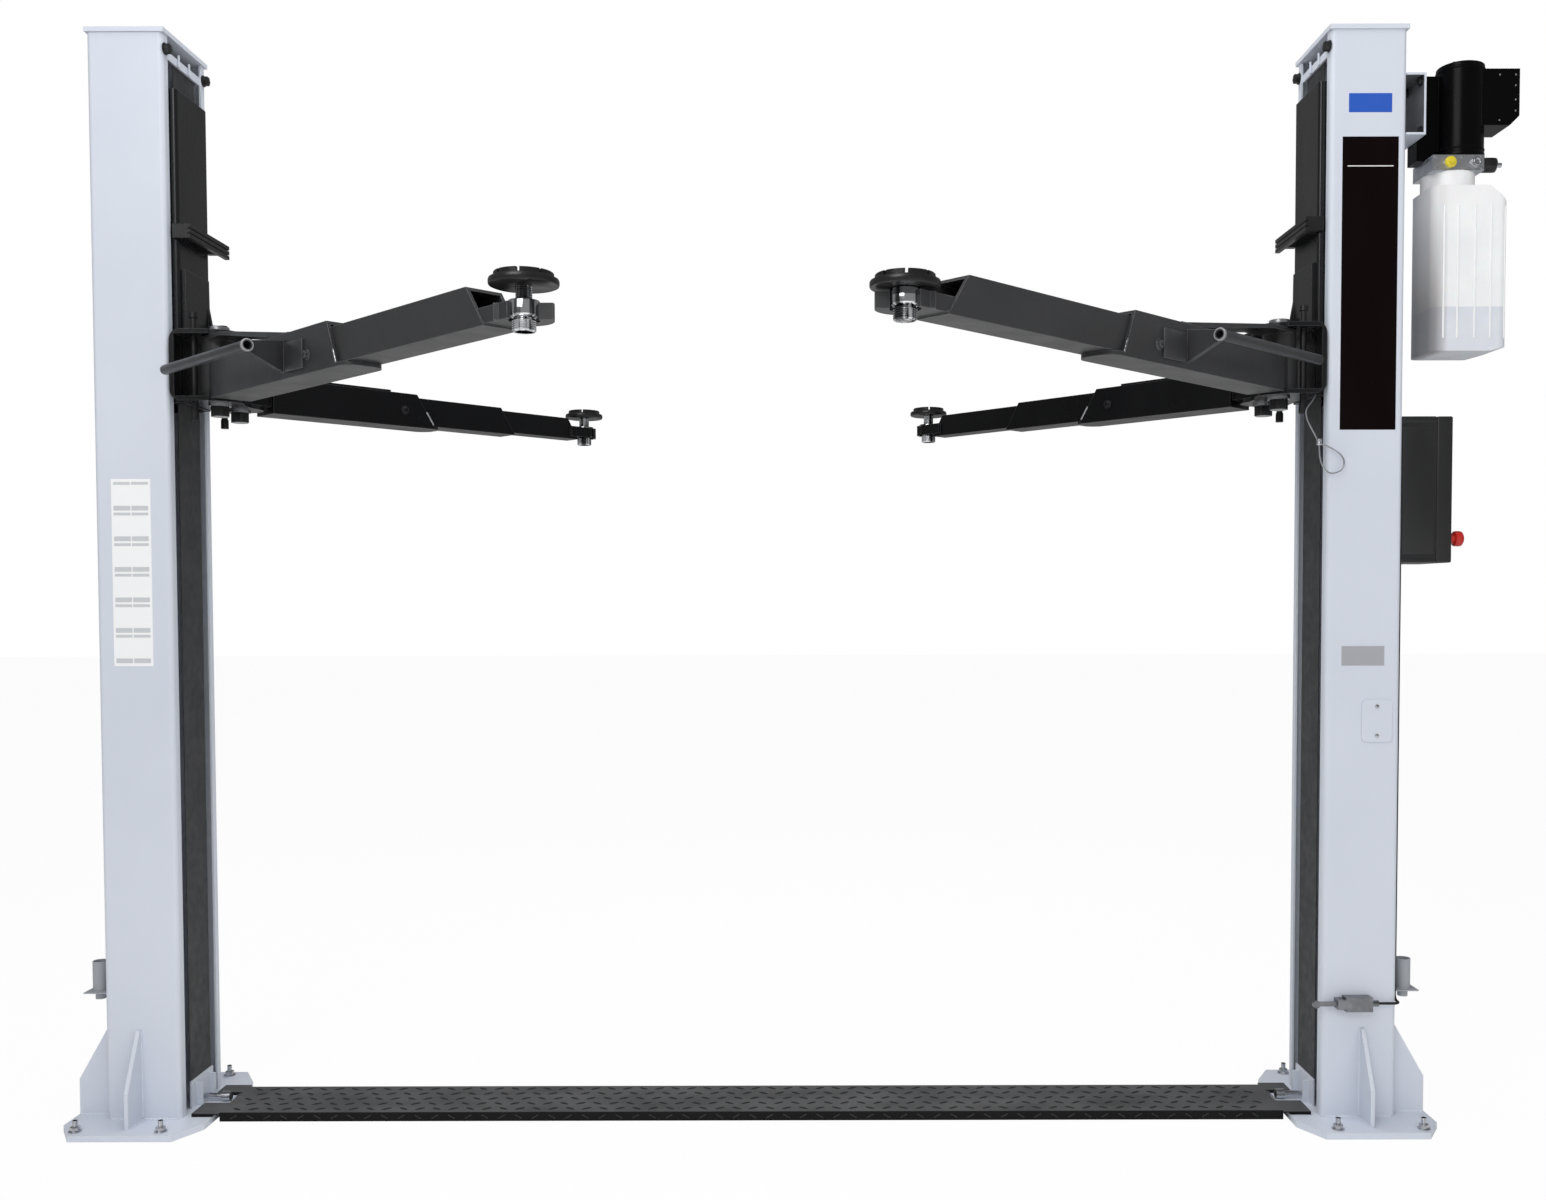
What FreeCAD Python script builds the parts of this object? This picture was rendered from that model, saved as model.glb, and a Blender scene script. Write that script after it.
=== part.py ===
"""Two post car lift: two C columns on floor plates, two lifting carriages and four swing arms.

The origin is on the floor, midway between the columns. X runs across the lift, +X towards the
column that carries the power unit, +Y runs along the car towards the far arms and +Z is up.
All lengths are in millimetres and all angles in degrees.
"""
import FreeCAD, Part
import math
import os
import Sketcher

SIZES = {
    # columns
    "lift_top": 2824.0,
    "column_face": 1485.0,
    "column_width": 194.0,
    "column_depth": 250.0,
    "column_wall": 6.0,
    "column_corner": 12.0,
    "lip_width": 29.0,
    "cap_thick": 12.0,
    "cap_overhang": 4.0,
    # floor plates, gussets and anchors
    "foot_thick": 16.0,
    "foot_ahead": 73.0,
    "foot_outer": 1771.0,
    "foot_half_depth": 237.0,
    "foot_inner_cut_x": 48.0,
    "foot_inner_cut_y": 82.0,
    "foot_outer_cut_x": 47.0,
    "foot_outer_cut_y": 72.0,
    "gusset_thick": 10.0,
    "gusset_rise": 235.0,
    "gusset_toe": 94.0,
    "front_gusset_x": 1590.0,
    "front_gusset_reach": 78.0,
    "side_gusset_y": 82.0,
    "side_gusset_reach": 90.0,
    "gusset_crown": 10.0,
    "anchor_radius": 6.0,
    "anchor_hole_gap": 1.0,
    "anchor_nut_radius": 10.5,
    "anchor_nut_rise": 10.0,
    "anchor_washer_radius": 15.5,
    "anchor_washer_rise": 3.0,
    "anchor_stud_rise": 29.0,
    "anchor_inner_x": 1500.0,
    "anchor_outer_x": 1718.0,
    "anchor_y": 208.0,
    "head_bolt_radius": 11.0,
    "head_bolt_out": 14.0,
    "head_bolt_below": 38.0,
    "head_bolt_inset": 14.0,
    # dust curtain and its fixings
    "curtain_thick": 2.0,
    "curtain_behind_lip": 5.0,
    "curtain_near": 46.0,
    "curtain_far": 78.0,
    "crossbar_top_drop": 34.0,
    "crossbar_height": 20.0,
    "crossbar_thick": 6.0,
    "hook_radius": 3.0,
    "hook_length": 30.0,
    "hook_spread": 30.0,
    "clamp_height": 72.0,
    "clamp_thick": 5.0,
    "clamp_far_extra": 4.0,
    "clamp_rib_out": 16.0,
    "clamp_rib_height": 60.0,
    "clamp_rib_near": 19.0,
    "clamp_rib_far": 60.0,
    # lifting cylinders
    "cylinder_radius": 40.0,
    "cylinder_from_face": 95.0,
    "cylinder_top": 1850.0,
    # floor cover between the columns
    "cover_front": 100.0,
    "cover_back": 91.0,
    "cover_top": 25.0,
    "cover_skin": 3.0,
    "cover_bar": 40.0,
    "cover_end": 1397.0,
    "cover_tab_end": 1466.0,
    "cover_tab_front": 110.0,
    "cover_tab_back": 105.0,
    "cover_notch_front": 30.0,
    "cover_notch_back": 50.0,
    # carriages
    "carriage_drop": 944.0,
    "carriage_height": 803.0,
    "carriage_face_out": 17.0,
    "carriage_plate": 12.0,
    "carriage_half_width": 90.0,
    "carriage_near_web": 30.0,
    "carriage_far_web": 6.0,
    "carriage_behind_lip": 12.0,
    "carriage_front_wall": 12.0,
    "carriage_wall": 8.0,
    "carriage_side_gap": 7.0,
    "carriage_back_gap": 18.0,
    "carriage_round": 9.0,
    "slider_height": 90.0,
    "slider_gap": 0.3,
    "slider_inset": 20.0,
    "face_plate_thick": 10.0,
    "face_plate_half": 70.0,
    "face_plate_rise": 162.0,
    "rib_thick": 8.0,
    "face_plate_shift": -6.0,
    "right_raise": 12.0,
    "rib_reach": 36.0,
    # arm brackets
    "bracket_height": 183.0,
    "bracket_plate": 12.0,
    "bracket_half": 130.0,
    "bracket_corner": 28.0,
    "bracket_lobe": 60.0,
    "pivot_x": 1380.0,
    "pivot_y": 62.0,
    "pin_radius": 19.0,
    "pin_gap": 0.5,
    "pin_head_radius": 26.0,
    "pin_head_rise": 8.0,
    "pin_below": 34.0,
    "pin_washer_radius": 28.0,
    "pin_washer_rise": 7.0,
    "pin_nut_radius": 21.0,
    "lock_x": 1433.0,
    "lock_y": 90.0,
    "lock_radius": 8.0,
    "lock_gap": 0.2,
    "lock_below": 46.0,
    "lock_above": 34.0,
    "lock_knob_radius": 11.0,
    "lock_knob_rise": 14.0,
    "lock_foot_radius": 10.0,
    "lock_foot_gap": 1.0,
    "lock_foot_clear": 22.0,
    # door guards
    "guard_rise": 420.0,
    "guard_height": 36.0,
    "guard_out": 35.0,
    "guard_skin": 6.0,
    "guard_rib_out": 6.0,
    "guard_rib_height": 10.0,
    "guard_near": 100.0,
    "guard_far": 138.0,
    "guard_post": 20.0,
    "guard_round": 14.0,
    # swing arms
    "near_angle": 44.5,
    "far_angle": 46.5,
    "arm_start": 70.0,
    "arm_width": 100.0,
    "arm_rise": 4.0,
    "arm_height": 106.0,
    "arm_wall": 8.0,
    "arm_floor": 10.0,
    "arm_plug": 40.0,
    "near_mouth_top": 700.0,
    "near_mouth_low": 746.0,
    "near_tongue": 790.0,
    "tongue_round": 40.0,
    "lug_radius": 46.0,
    "lug_low_gap": 2.0,
    "lug_height": 96.0,
    "neck_half": 38.0,
    "hub_radius": 42.0,
    "slide_gap": 0.3,
    "near_side_gap": 1.0,
    "far_side_gap": 2.0,
    "near_inner_start": 543.0,
    "near_inner_height": 83.0,
    "near_inner_wall": 7.0,
    "near_top_back": 139.0,
    "near_low_back": 77.0,
    "left_near_reach": 1402.0,
    "right_near_extra": 55.0,
    "near_head_radius": 57.5,
    "handle_radius": 12.5,
    "handle_wall": 3.0,
    "handle_off": 143.0,
    "handle_rise": 70.0,
    "handle_start": 15.0,
    "handle_end": 505.0,
    "wing_thick": 14.0,
    "wing_start": 470.0,
    "wing_end": 500.0,
    "wing_low_rise": 18.0,
    "wing_high_rise": 96.0,
    "brace_thick": 10.0,
    "brace_half": 42.0,
    "brace_flat": 105.0,
    "brace_end": 500.0,
    "brace_foot": 50.0,
    "far_drop": 6.0,
    "far_height": 96.0,
    "far_wall": 8.0,
    "far_floor": 8.0,
    "far_mouth_top": 505.0,
    "far_mouth_low": 565.0,
    "far_tongue": 590.0,
    "far_doubler_start": 200.0,
    "far_doubler_rise": 6.0,
    "far_doubler_half": 45.0,
    "far_doubler_end": 423.0,
    "middle_start": 442.0,
    "middle_top_end": 800.0,
    "middle_low_end": 850.0,
    "middle_wall": 8.0,
    "middle_floor": 7.0,
    "far_inner_start": 700.0,
    "far_inner_wall": 6.0,
    "far_top_back": 87.0,
    "far_low_back": 47.0,
    "left_far_reach": 1147.0,
    "right_far_extra": 62.0,
    "far_head_radius": 38.0,
    "head_rise": 18.0,
    "head_height": 32.0,
    "head_neck_half": 38.0,
    "head_face": 8.0,
    # lifting pads
    "collar_radius": 30.0,
    "collar_drop": 4.0,
    "collar_nut_radius": 23.0,
    "collar_nut_height": 22.0,
    "collar_cone_height": 8.0,
    "collar_height": 59.0,
    "screw_radius": 16.0,
    "screw_gap": 0.1,
    "screw_bevel": 3.0,
    "screw_engaged": 57.0,
    "pad_raise": 26.0,
    "pad_down_gap": 1.0,
    "near_pad_radius": 67.0,
    "far_pad_radius": 60.0,
    "pad_thick": 17.0,
    "pad_rim_rise": 9.0,
    "pad_rim_width": 12.0,
    "pad_cup_depth": 6.0,
    "pad_step": 10.0,
    # release lanyard
    "lanyard_radius": 2.0,
    "lanyard_bend": 12.0,
    "ferrule_radius": 7.0,
    "ferrule_height": 16.0,
    # power unit
    "unit_y": -62.0,
    "unit_bracket_out": 50.0,
    "unit_bracket_drop": 120.0,
    "unit_bracket_tall": 156.0,
    "unit_bracket_half": 60.0,
    "unit_bracket_skin": 6.0,
    "motor_x": 1842.0,
    "motor_radius": 58.0,
    "motor_base_drop": 327.0,
    "motor_tall": 237.0,
    "motor_cradle": 100.0,
    "cradle_front": 5.0,
    "cradle_top_gap": 20.0,
    "terminal_out": 73.0,
    "terminal_rise": 78.0,
    "terminal_tall": 143.0,
    "terminal_depth": 95.0,
    "terminal_chamfer": 24.0,
    "block_left": 1748.0,
    "block_right": 1879.0,
    "block_half": 59.0,
    "block_height": 40.0,
    "plug_radius": 14.0,
    "plug_out": 4.0,
    "plug_from_left": 43.0,
    "plug_spacing": 66.0,
    "valve_radius": 18.0,
    "valve_front": 36.0,
    "valve_out": 38.0,
    "valve_tip_radius": 6.0,
    "valve_tip_out": 16.0,
    "tank_x": 1843.0,
    "tank_half_width": 97.0,
    "tank_half_depth": 72.0,
    "tank_top_drop": 80.0,
    "tank_tall": 419.0,
    "tank_shoulder_x": 50.0,
    "tank_shoulder_z": 42.0,
    "tank_heel_x": 45.0,
    "tank_heel_z": 12.0,
    "tank_round": 24.0,
    "tank_wall": 4.0,
    "neck_x": 1812.0,
    "neck_radius": 65.0,
    # control box
    "box_out": 133.0,
    "box_low": 1460.0,
    "box_high": 1833.0,
    "box_front": 115.0,
    "box_back": 75.0,
    "box_lid": 42.0,
    "box_seam": 2.0,
    "box_corner": 6.0,
    "button_rise": 61.0,
    "button_y": -88.0,
    "button_stem_radius": 11.0,
    "button_stem_out": 16.0,
    "button_radius": 20.0,
    "button_thick": 24.0,
    "button_hole_depth": 12.0,
    "button_gap": 0.1,
    # limit switch, hatch and adapters
    "switch_low": 300.0,
    "switch_height": 37.0,
    "switch_left": 1538.0,
    "switch_right": 1607.0,
    "switch_depth": 30.0,
    "switch_head_left": 1517.0,
    "lever_left": 1464.0,
    "lever_thick": 4.0,
    "lever_height": 12.0,
    "lever_out": 13.0,
    "roller_radius": 10.0,
    "roller_width": 8.0,
    "gland_radius": 8.0,
    "gland_length": 19.0,
    "lead_radius": 3.5,
    "lead_inset": 20.0,
    "hatch_left": 1580.0,
    "hatch_right": 1659.0,
    "hatch_low": 996.0,
    "hatch_high": 1105.0,
    "hatch_thick": 3.0,
    "hatch_corner": 12.0,
    "adapter_y": 60.0,
    "adapter_shelf_height": 336.0,
    "adapter_shelf_thick": 3.0,
    "adapter_shelf_out": 74.0,
    "adapter_shelf_half": 30.0,
    "adapter_from_web": 43.0,
    "adapter_radius": 19.0,
    "adapter_wall": 3.0,
    "adapter_height": 78.0,
    "adapter_spigot_radius": 13.0,
    "adapter_spigot_drop": 22.0,
    "adapter_back_plate": 4.0,
    "adapter_back_rise": 50.0,
    "adapter_hole_gap": 0.3,
    "pipe_radius": 8.0,
    "pipe_nut_radius": 13.0,
    "pipe_nut_length": 22.0,
    "pipe_length": 50.0,
    "pipe_y": 10.0,
    "foot_plug_radius": 12.0,
    "foot_plug_length": 18.0,
}

LANYARD_ROUTE = [
    (1458, -112, 1891.7), (1452, -118, 1878), (1420, -129, 1843), (1457.5, -134, 1772), (1460.5, -135, 1758),
    (1462, -135.5, 1720), (1482, -136, 1684), (1518, -137, 1690), (1527, -137.5, 1722), (1500, -137, 1748),
    (1466.5, -135, 1761.5)]
LANYARD_CLAMP = (1461.0, -134.0, 1767.0)

document = FreeCAD.newDocument("TwoPostCarLift")
sheet = document.addObject("Spreadsheet::Sheet", "Sizes")
NODES = []


class Formula:
    """A size as a number, together with the spreadsheet formula that gives it."""

    def __init__(self, number, text):
        self.number = number
        self.text = text

    def __add__(self, other):
        other = as_formula(other)
        return Formula(self.number + other.number, f"({self.text} + {other.text})")

    def __sub__(self, other):
        other = as_formula(other)
        return Formula(self.number - other.number, f"({self.text} - {other.text})")

    def __mul__(self, other):
        other = as_formula(other)
        return Formula(self.number * other.number, f"({self.text} * {other.text})")

    def __truediv__(self, other):
        other = as_formula(other)
        return Formula(self.number / other.number, f"({self.text} / {other.text})")

    def __neg__(self):
        return Formula(-self.number, f"(-1 * {self.text})")

    def __radd__(self, other):
        return as_formula(other) + self

    def __rsub__(self, other):
        return as_formula(other) - self

    def __rmul__(self, other):
        return as_formula(other) * self


def as_formula(value):
    """Turns a plain number into a formula."""
    return value if isinstance(value, Formula) else Formula(float(value), f"({float(value)})")


def fill_sheet():
    """Writes each driving size to a cell with its name as the alias."""
    for row, (name, value) in enumerate(SIZES.items(), start=1):
        sheet.set(f"A{row}", name)
        sheet.set(f"B{row}", str(value))
        sheet.setAlias(f"B{row}", name)
    document.recompute()


def size(name):
    """The formula of one driving size."""
    return Formula(SIZES[name], f"Sizes.{name}")


def bind(item, target, value):
    """Binds a property of an object to a formula."""
    item.setExpression(target, as_formula(value).text)


def place(item, x=0, y=0, z=0, turn=0, axis=(0, 0, 1)):
    """Binds the placement of an object: its position and its turn about an axis."""
    x, y, z, turn = (as_formula(value).text for value in (x, y, z, turn))
    line = "; ".join(str(part) for part in axis)
    item.setExpression("Placement", f"placement(vector({x}; {y}; {z}); rotation(vector({line}); {turn}))")
    return item


def span(side, near, far):
    """Two distances from the middle of the lift as a rising pair on the given side."""
    return (near, far) if side > 0 else (-as_formula(far), -as_formula(near))


def block(name, xs, ys, zs):
    """A box between pairs of low and high values."""
    item = document.addObject("Part::Box", name)
    for target, (low, high) in zip(("Length", "Width", "Height"), (xs, ys, zs)):
        bind(item, target, as_formula(high) - low)
    return place(item, xs[0], ys[0], zs[0])


def rod(name, radius, start, length, direction="z"):
    """A cylinder from its start point along +X, +Y or +Z, or along -X or -Y."""
    item = document.addObject("Part::Cylinder", name)
    bind(item, "Radius", radius)
    bind(item, "Height", length)
    turn, axis = {"z": (0, (0, 0, 1)), "x": (90, (0, 1, 0)), "-x": (-90, (0, 1, 0)),
                  "y": (-90, (1, 0, 0)), "-y": (90, (1, 0, 0))}[direction]
    return place(item, *start, turn=turn, axis=axis)


def cone(name, low_radius, high_radius, start, length):
    """A cone frustum that stands on its start point."""
    item = document.addObject("Part::Cone", name)
    bind(item, "Radius1", low_radius)
    bind(item, "Radius2", high_radius)
    bind(item, "Height", length)
    return place(item, *start)


def cut(name, base, *tools):
    """The base less the tools."""
    item = document.addObject("Part::Cut", name)
    item.Base = base
    item.Tool = tools[0] if len(tools) == 1 else join(name + "_tools", *tools)
    return item


def join(name, *parts):
    """Several touching or overlapping shapes made one solid."""
    item = document.addObject("Part::MultiFuse", name)
    item.Shapes = list(parts)
    item.Refine = True
    return item


def group(name, *parts):
    """Like pieces on one body that don't touch each other."""
    item = document.addObject("Part::Compound", name)
    item.Links = list(parts)
    return item


def node(name, item):
    """Names an object as one of the pieces of the lift."""
    item.Label = name
    NODES.append(item)
    return item


PLANES = {"XY": ("XY_Plane", "x", "y"), "XZ": ("XZ_Plane", "x", "z"), "YZ": ("YZ_Plane", "y", "z")}


def prism(name, plane, points, low, high, rounds=()):
    """A body padded from a straight-sided sketch between two heights above its plane.

    rounds pairs the numbers of corners with the radius of the fillet along them.
    """
    role, first, second = PLANES[plane]
    body = document.addObject("PartDesign::Body", name)
    origin_plane = [item for item in body.Origin.OriginFeatures if item.Role == role][0]
    sketch = body.newObject("Sketcher::SketchObject", name + "_sketch")
    sketch.AttachmentSupport = [(origin_plane, "")]
    sketch.MapMode = "FlatFace"
    points = [(as_formula(x), as_formula(y)) for x, y in points]
    corners = [FreeCAD.Vector(x.number, y.number, 0) for x, y in points]
    count = len(corners)
    for index in range(count):
        sketch.addGeometry(Part.LineSegment(corners[index], corners[(index + 1) % count]), False)
    for index in range(count):
        sketch.addConstraint(Sketcher.Constraint("Coincident", index, 2, (index + 1) % count, 1))
    for index, pair in enumerate(points):
        for kind, letter, value in zip(("DistanceX", "DistanceY"), "xy", pair):
            number = sketch.addConstraint(Sketcher.Constraint(kind, index, 1, value.number))
            sketch.renameConstraint(number, f"{letter}{index}")
            sketch.setExpression(f"Constraints.{letter}{index}", value.text)
    offset = -as_formula(high) if plane == "XZ" else as_formula(low)
    bind(sketch, "AttachmentOffset.Base.z", offset)
    pad = body.newObject("PartDesign::Pad", name + "_pad")
    pad.Profile = sketch
    bind(pad, "Length", as_formula(high) - low)
    last = pad
    for number, (indices, radius) in enumerate(rounds):
        document.recompute()
        spots = [(corners[index].x, corners[index].y) for index in indices]
        last = fillet(body, last, f"{name}_round{number}", first, second, spots, radius)
    return body


def fillet(body, feature, name, first, second, spots, radius):
    """Rounds the edges of a pad that stand over the given points of its sketch."""
    edges = []
    for number, edge in enumerate(feature.Shape.Edges, start=1):
        ends = [(getattr(vertex.Point, first), getattr(vertex.Point, second)) for vertex in edge.Vertexes]
        if len(ends) < 2:
            continue
        for spot in spots:
            if all(abs(end[0] - spot[0]) + abs(end[1] - spot[1]) < 0.01 for end in ends):
                edges.append(f"Edge{number}")
    item = body.newObject("PartDesign::Fillet", name)
    item.Base = (feature, edges)
    bind(item, "Radius", radius)
    return item


fill_sheet()
SIDES = {"left": -1, "right": 1}
foot_top = size("foot_thick")
cap_low = size("lift_top") - size("cap_thick")
face = size("column_face")
web = face + size("column_width")
half = size("column_depth") / 2
slot = half - size("lip_width")
lip_back = face + size("column_wall")
curtain_front = lip_back + size("curtain_behind_lip")
def carriage_base():
    """The height of the left carriage's underside."""
    return size("lift_top") - size("carriage_drop")


bracket_top = carriage_base() + size("bracket_height")
carriage_out = face - size("carriage_face_out")


def column(side_name, side):
    """The C column: an outer web, two flanges and two lips, with rounded bends."""
    wall = size("column_wall")
    inner_half = half - wall
    outline = [(web, -half), (face, -half), (face, -slot), (lip_back, -slot), (lip_back, -inner_half),
               (web - wall, -inner_half), (web - wall, inner_half), (lip_back, inner_half),
               (lip_back, slot), (face, slot), (face, half), (web, half)]
    bends = [((0, 1, 10, 11), size("column_corner")), ((4, 5, 6, 7), size("column_corner") - wall)]
    points = [(side * x, y) for x, y in outline]
    node(f"{side_name}_column", prism(f"{side_name}_column", "XY", points, foot_top, cap_low, bends))


def top_cap(side_name, side):
    """The flat plate that closes the column's top."""
    lap = size("cap_overhang")
    return block(f"{side_name}_cap", span(side, face - lap, web + lap), (-half - lap, half + lap),
                 (cap_low, size("lift_top")))


def anchor_places(side):
    """The floor bolts' positions on one floor plate."""
    for x in (size("anchor_inner_x"), size("anchor_outer_x")):
        for end in (-1, 1):
            yield side * x, end * size("anchor_y")


def base_plate(side_name, side):
    """The floor plate: a rectangle with its four corners cut off, drilled for the floor bolts."""
    inner, outer, depth = (size("column_face") - size("foot_ahead")), size("foot_outer"), size("foot_half_depth")
    in_x, in_y = size("foot_inner_cut_x"), size("foot_inner_cut_y")
    out_x, out_y = size("foot_outer_cut_x"), size("foot_outer_cut_y")
    outline = [(inner + in_x, -depth), (outer - out_x, -depth), (outer, out_y - depth),
               (outer, depth - out_y), (outer - out_x, depth), (inner + in_x, depth),
               (inner, depth - in_y), (inner, in_y - depth)]
    plate = prism(f"{side_name}_plate", "XY", [(side * x, y) for x, y in outline], 0, foot_top)
    radius = size("anchor_radius") + size("anchor_hole_gap")
    holes = [rod(f"{side_name}_anchor_hole{number}", radius, (x, y, -foot_top), 3 * foot_top)
             for number, (x, y) in enumerate(anchor_places(side))]
    node(f"{side_name}_base_plate", cut(f"{side_name}_base_plate", plate, *holes))


def anchor_bolts(side_name, side):
    """The studs, nuts and washers that hold the floor plate down."""
    bolts = []
    for number, (x, y) in enumerate(anchor_places(side)):
        name = f"{side_name}_anchor{number}"
        washer_top = foot_top + size("anchor_washer_rise")
        bolts.append(join(
            name,
            rod(name + "_stud", size("anchor_radius"), (x, y, 0), foot_top + size("anchor_stud_rise")),
            rod(name + "_washer", size("anchor_washer_radius"), (x, y, foot_top), size("anchor_washer_rise")),
            rod(name + "_nut", size("anchor_nut_radius"), (x, y, washer_top), size("anchor_nut_rise"))))
    return bolts


def head_bolts(side_name, side):
    """The dark bolts through the lips just below the top cap."""
    for end in (-1, 1):
        start = (side * face, end * (half - size("head_bolt_inset")), cap_low - size("head_bolt_below"))
        yield rod(f"{side_name}_head_bolt{end + 1}", size("head_bolt_radius"), start,
                  size("head_bolt_out"), "-x" if side > 0 else "x")


def gussets(side_name, side):
    """Four upright stiffeners between the column's foot and the floor plate."""
    thick = size("gusset_thick") / 2
    top = foot_top + size("gusset_rise")
    toe = foot_top + size("gusset_toe")
    x = side * size("front_gusset_x")
    for end in (-1, 1):
        root, tip, crown = (end * (half + step) for step in
                            (0, size("front_gusset_reach"), size("gusset_crown")))
        yield prism(f"{side_name}_gusset_y{end + 1}", "YZ",
                    [(root, foot_top), (tip, foot_top), (tip, toe), (crown, top), (root, top)],
                    x - thick, x + thick)
        y = end * size("side_gusset_y")
        root, tip, crown = (side * (web + step) for step in
                            (0, size("side_gusset_reach"), size("gusset_crown")))
        yield prism(f"{side_name}_gusset_x{end + 1}", "XZ",
                    [(root, foot_top), (tip, foot_top), (tip, toe), (crown, top), (root, top)],
                    y - thick, y + thick)


def curtain(side_name, side):
    """The belt that closes the slot of the column."""
    back = curtain_front + size("curtain_thick")
    low = foot_top + size("clamp_height") / 2
    high = cap_low - size("crossbar_top_drop") - size("crossbar_height") / 2
    return block(f"{side_name}_curtain", span(side, curtain_front, back),
                 (-size("curtain_near"), size("curtain_far")), (low, high))


def curtain_fixings(side_name, side):
    """The crossbar with its two hooks at the curtain's top, and the ribbed clamp at its foot."""
    high = cap_low - size("crossbar_top_drop")
    low = high - size("crossbar_height")
    front = curtain_front - size("crossbar_thick")
    bar = block(f"{side_name}_crossbar", span(side, front, curtain_front), (-slot, slot), (low, high))
    hooks = [rod(f"{side_name}_hook{end + 1}", size("hook_radius"),
                 (side * (front - size("hook_radius")), end * size("hook_spread"), low), size("hook_length"))
             for end in (-1, 1)]
    top = join(f"{side_name}_top_fixing", bar, *hooks)
    near = -size("curtain_near") - size("clamp_far_extra")
    far = size("curtain_far") + size("clamp_far_extra")
    plate_front = curtain_front - size("clamp_thick")
    plate = block(f"{side_name}_clamp", span(side, plate_front, curtain_front), (near, far),
                  (foot_top, foot_top + size("clamp_height")))
    rib_half = size("clamp_thick") / 2
    ribs = [block(f"{side_name}_clamp_rib{number}",
                  span(side, plate_front - size("clamp_rib_out"), plate_front),
                  (y - rib_half, y + rib_half), (foot_top, foot_top + size("clamp_rib_height")))
            for number, y in enumerate((-size("clamp_rib_near"), size("clamp_rib_far")))]
    return top, join(f"{side_name}_foot_fixing", plate, *ribs)


def lift_cylinder(side_name, side):
    """The upright hydraulic cylinder behind the curtain."""
    x = side * (face + size("cylinder_from_face"))
    return rod(f"{side_name}_cylinder", size("cylinder_radius"), (x, 0, foot_top),
               size("cylinder_top") - foot_top)


def floor_cover():
    """The flanged drive-over plate, with tabs that lie on the floor plates at its ends."""
    end, tab = size("cover_end"), size("cover_tab_end")
    front, back = size("cover_front"), size("cover_back")
    top, skin = size("cover_top"), size("cover_skin")
    shell = block("cover_shell", (-end, end), (-front, back), (0, top))
    hollow = block("cover_hollow", (-end - skin, end + skin), (skin - front, back - skin), (-skin, top - skin))
    sheet_part = cut("cover_sheet", shell, hollow)
    bar_half = size("cover_bar") / 2
    bar = block("cover_bar", (-bar_half, bar_half), (skin / 2 - front, back - skin / 2), (0, top - skin / 2))
    tabs = []
    for side_name, side in SIDES.items():
        root = end - skin
        ys = (-size("cover_tab_front"), -size("cover_notch_front"))
        tabs.append(block(f"{side_name}_front_tab", span(side, root, tab), ys, (top - skin, top)))
        tabs.append(block(f"{side_name}_front_foot", span(side, (size("column_face") - size("foot_ahead")), tab), ys, (foot_top, top)))
        ys = (size("cover_notch_back"), size("cover_tab_back"))
        tabs.append(block(f"{side_name}_back_tab", span(side, root, tab), ys, (top - skin, top)))
        tabs.append(block(f"{side_name}_back_foot", span(side, (size("column_face") - size("foot_ahead")), tab), ys, (foot_top, top)))
    node("floor_cover", join("floor_cover", sheet_part, bar, *tabs))


def foot_fittings(side_name, side):
    """The short hydraulic pipe that lies on the floor plate behind the cover's notch."""
    x = (size("column_face") - size("foot_ahead")) + size("pipe_nut_length")
    height = foot_top + size("pipe_nut_radius")
    nut = rod(f"{side_name}_pipe_nut", size("pipe_nut_radius"), (side * x, size("pipe_y"), height),
              size("pipe_nut_length"), "-x" if side > 0 else "x")
    pipe = rod(f"{side_name}_pipe", size("pipe_radius"), (side * x, size("pipe_y"), height),
               size("pipe_length"), "x" if side > 0 else "-x")
    return join(f"{side_name}_pipe_fitting", nut, pipe)


def adapter_rack(side_name, side):
    """The shelf on the column's outer web with its two pad adapters."""
    shelf_low = size("adapter_shelf_height")
    shelf_top = shelf_low + size("adapter_shelf_thick")
    reach = web + size("adapter_shelf_out")
    x = side * (web + size("adapter_from_web"))
    pieces = []
    for end in (-1, 1):
        y = end * size("adapter_y")
        name = f"{side_name}_adapter{end + 1}"
        ys = (y - size("adapter_shelf_half"), y + size("adapter_shelf_half"))
        shelf = join(name + "_shelf",
                     block(name + "_ledge", span(side, web, reach), ys, (shelf_low, shelf_top)),
                     block(name + "_back", span(side, web, web + size("adapter_back_plate")), ys,
                           (shelf_low, shelf_top + size("adapter_back_rise"))))
        opening = rod(name + "_opening", size("adapter_spigot_radius") + size("adapter_hole_gap"),
                      (x, y, shelf_low - shelf_top), 3 * shelf_top)
        pieces.append(cut(name + "_rack", shelf, opening))
        tube = rod(name + "_tube", size("adapter_radius"), (x, y, shelf_top), size("adapter_height"))
        bore = rod(name + "_bore", size("adapter_radius") - size("adapter_wall"),
                   (x, y, shelf_top + size("adapter_wall")), size("adapter_height"))
        spigot = rod(name + "_spigot", size("adapter_spigot_radius"),
                     (x, y, shelf_top - size("adapter_spigot_drop")), size("adapter_spigot_drop"))
        pieces.append(cut(name, join(name + "_body", tube, spigot), bore))
    return pieces


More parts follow.
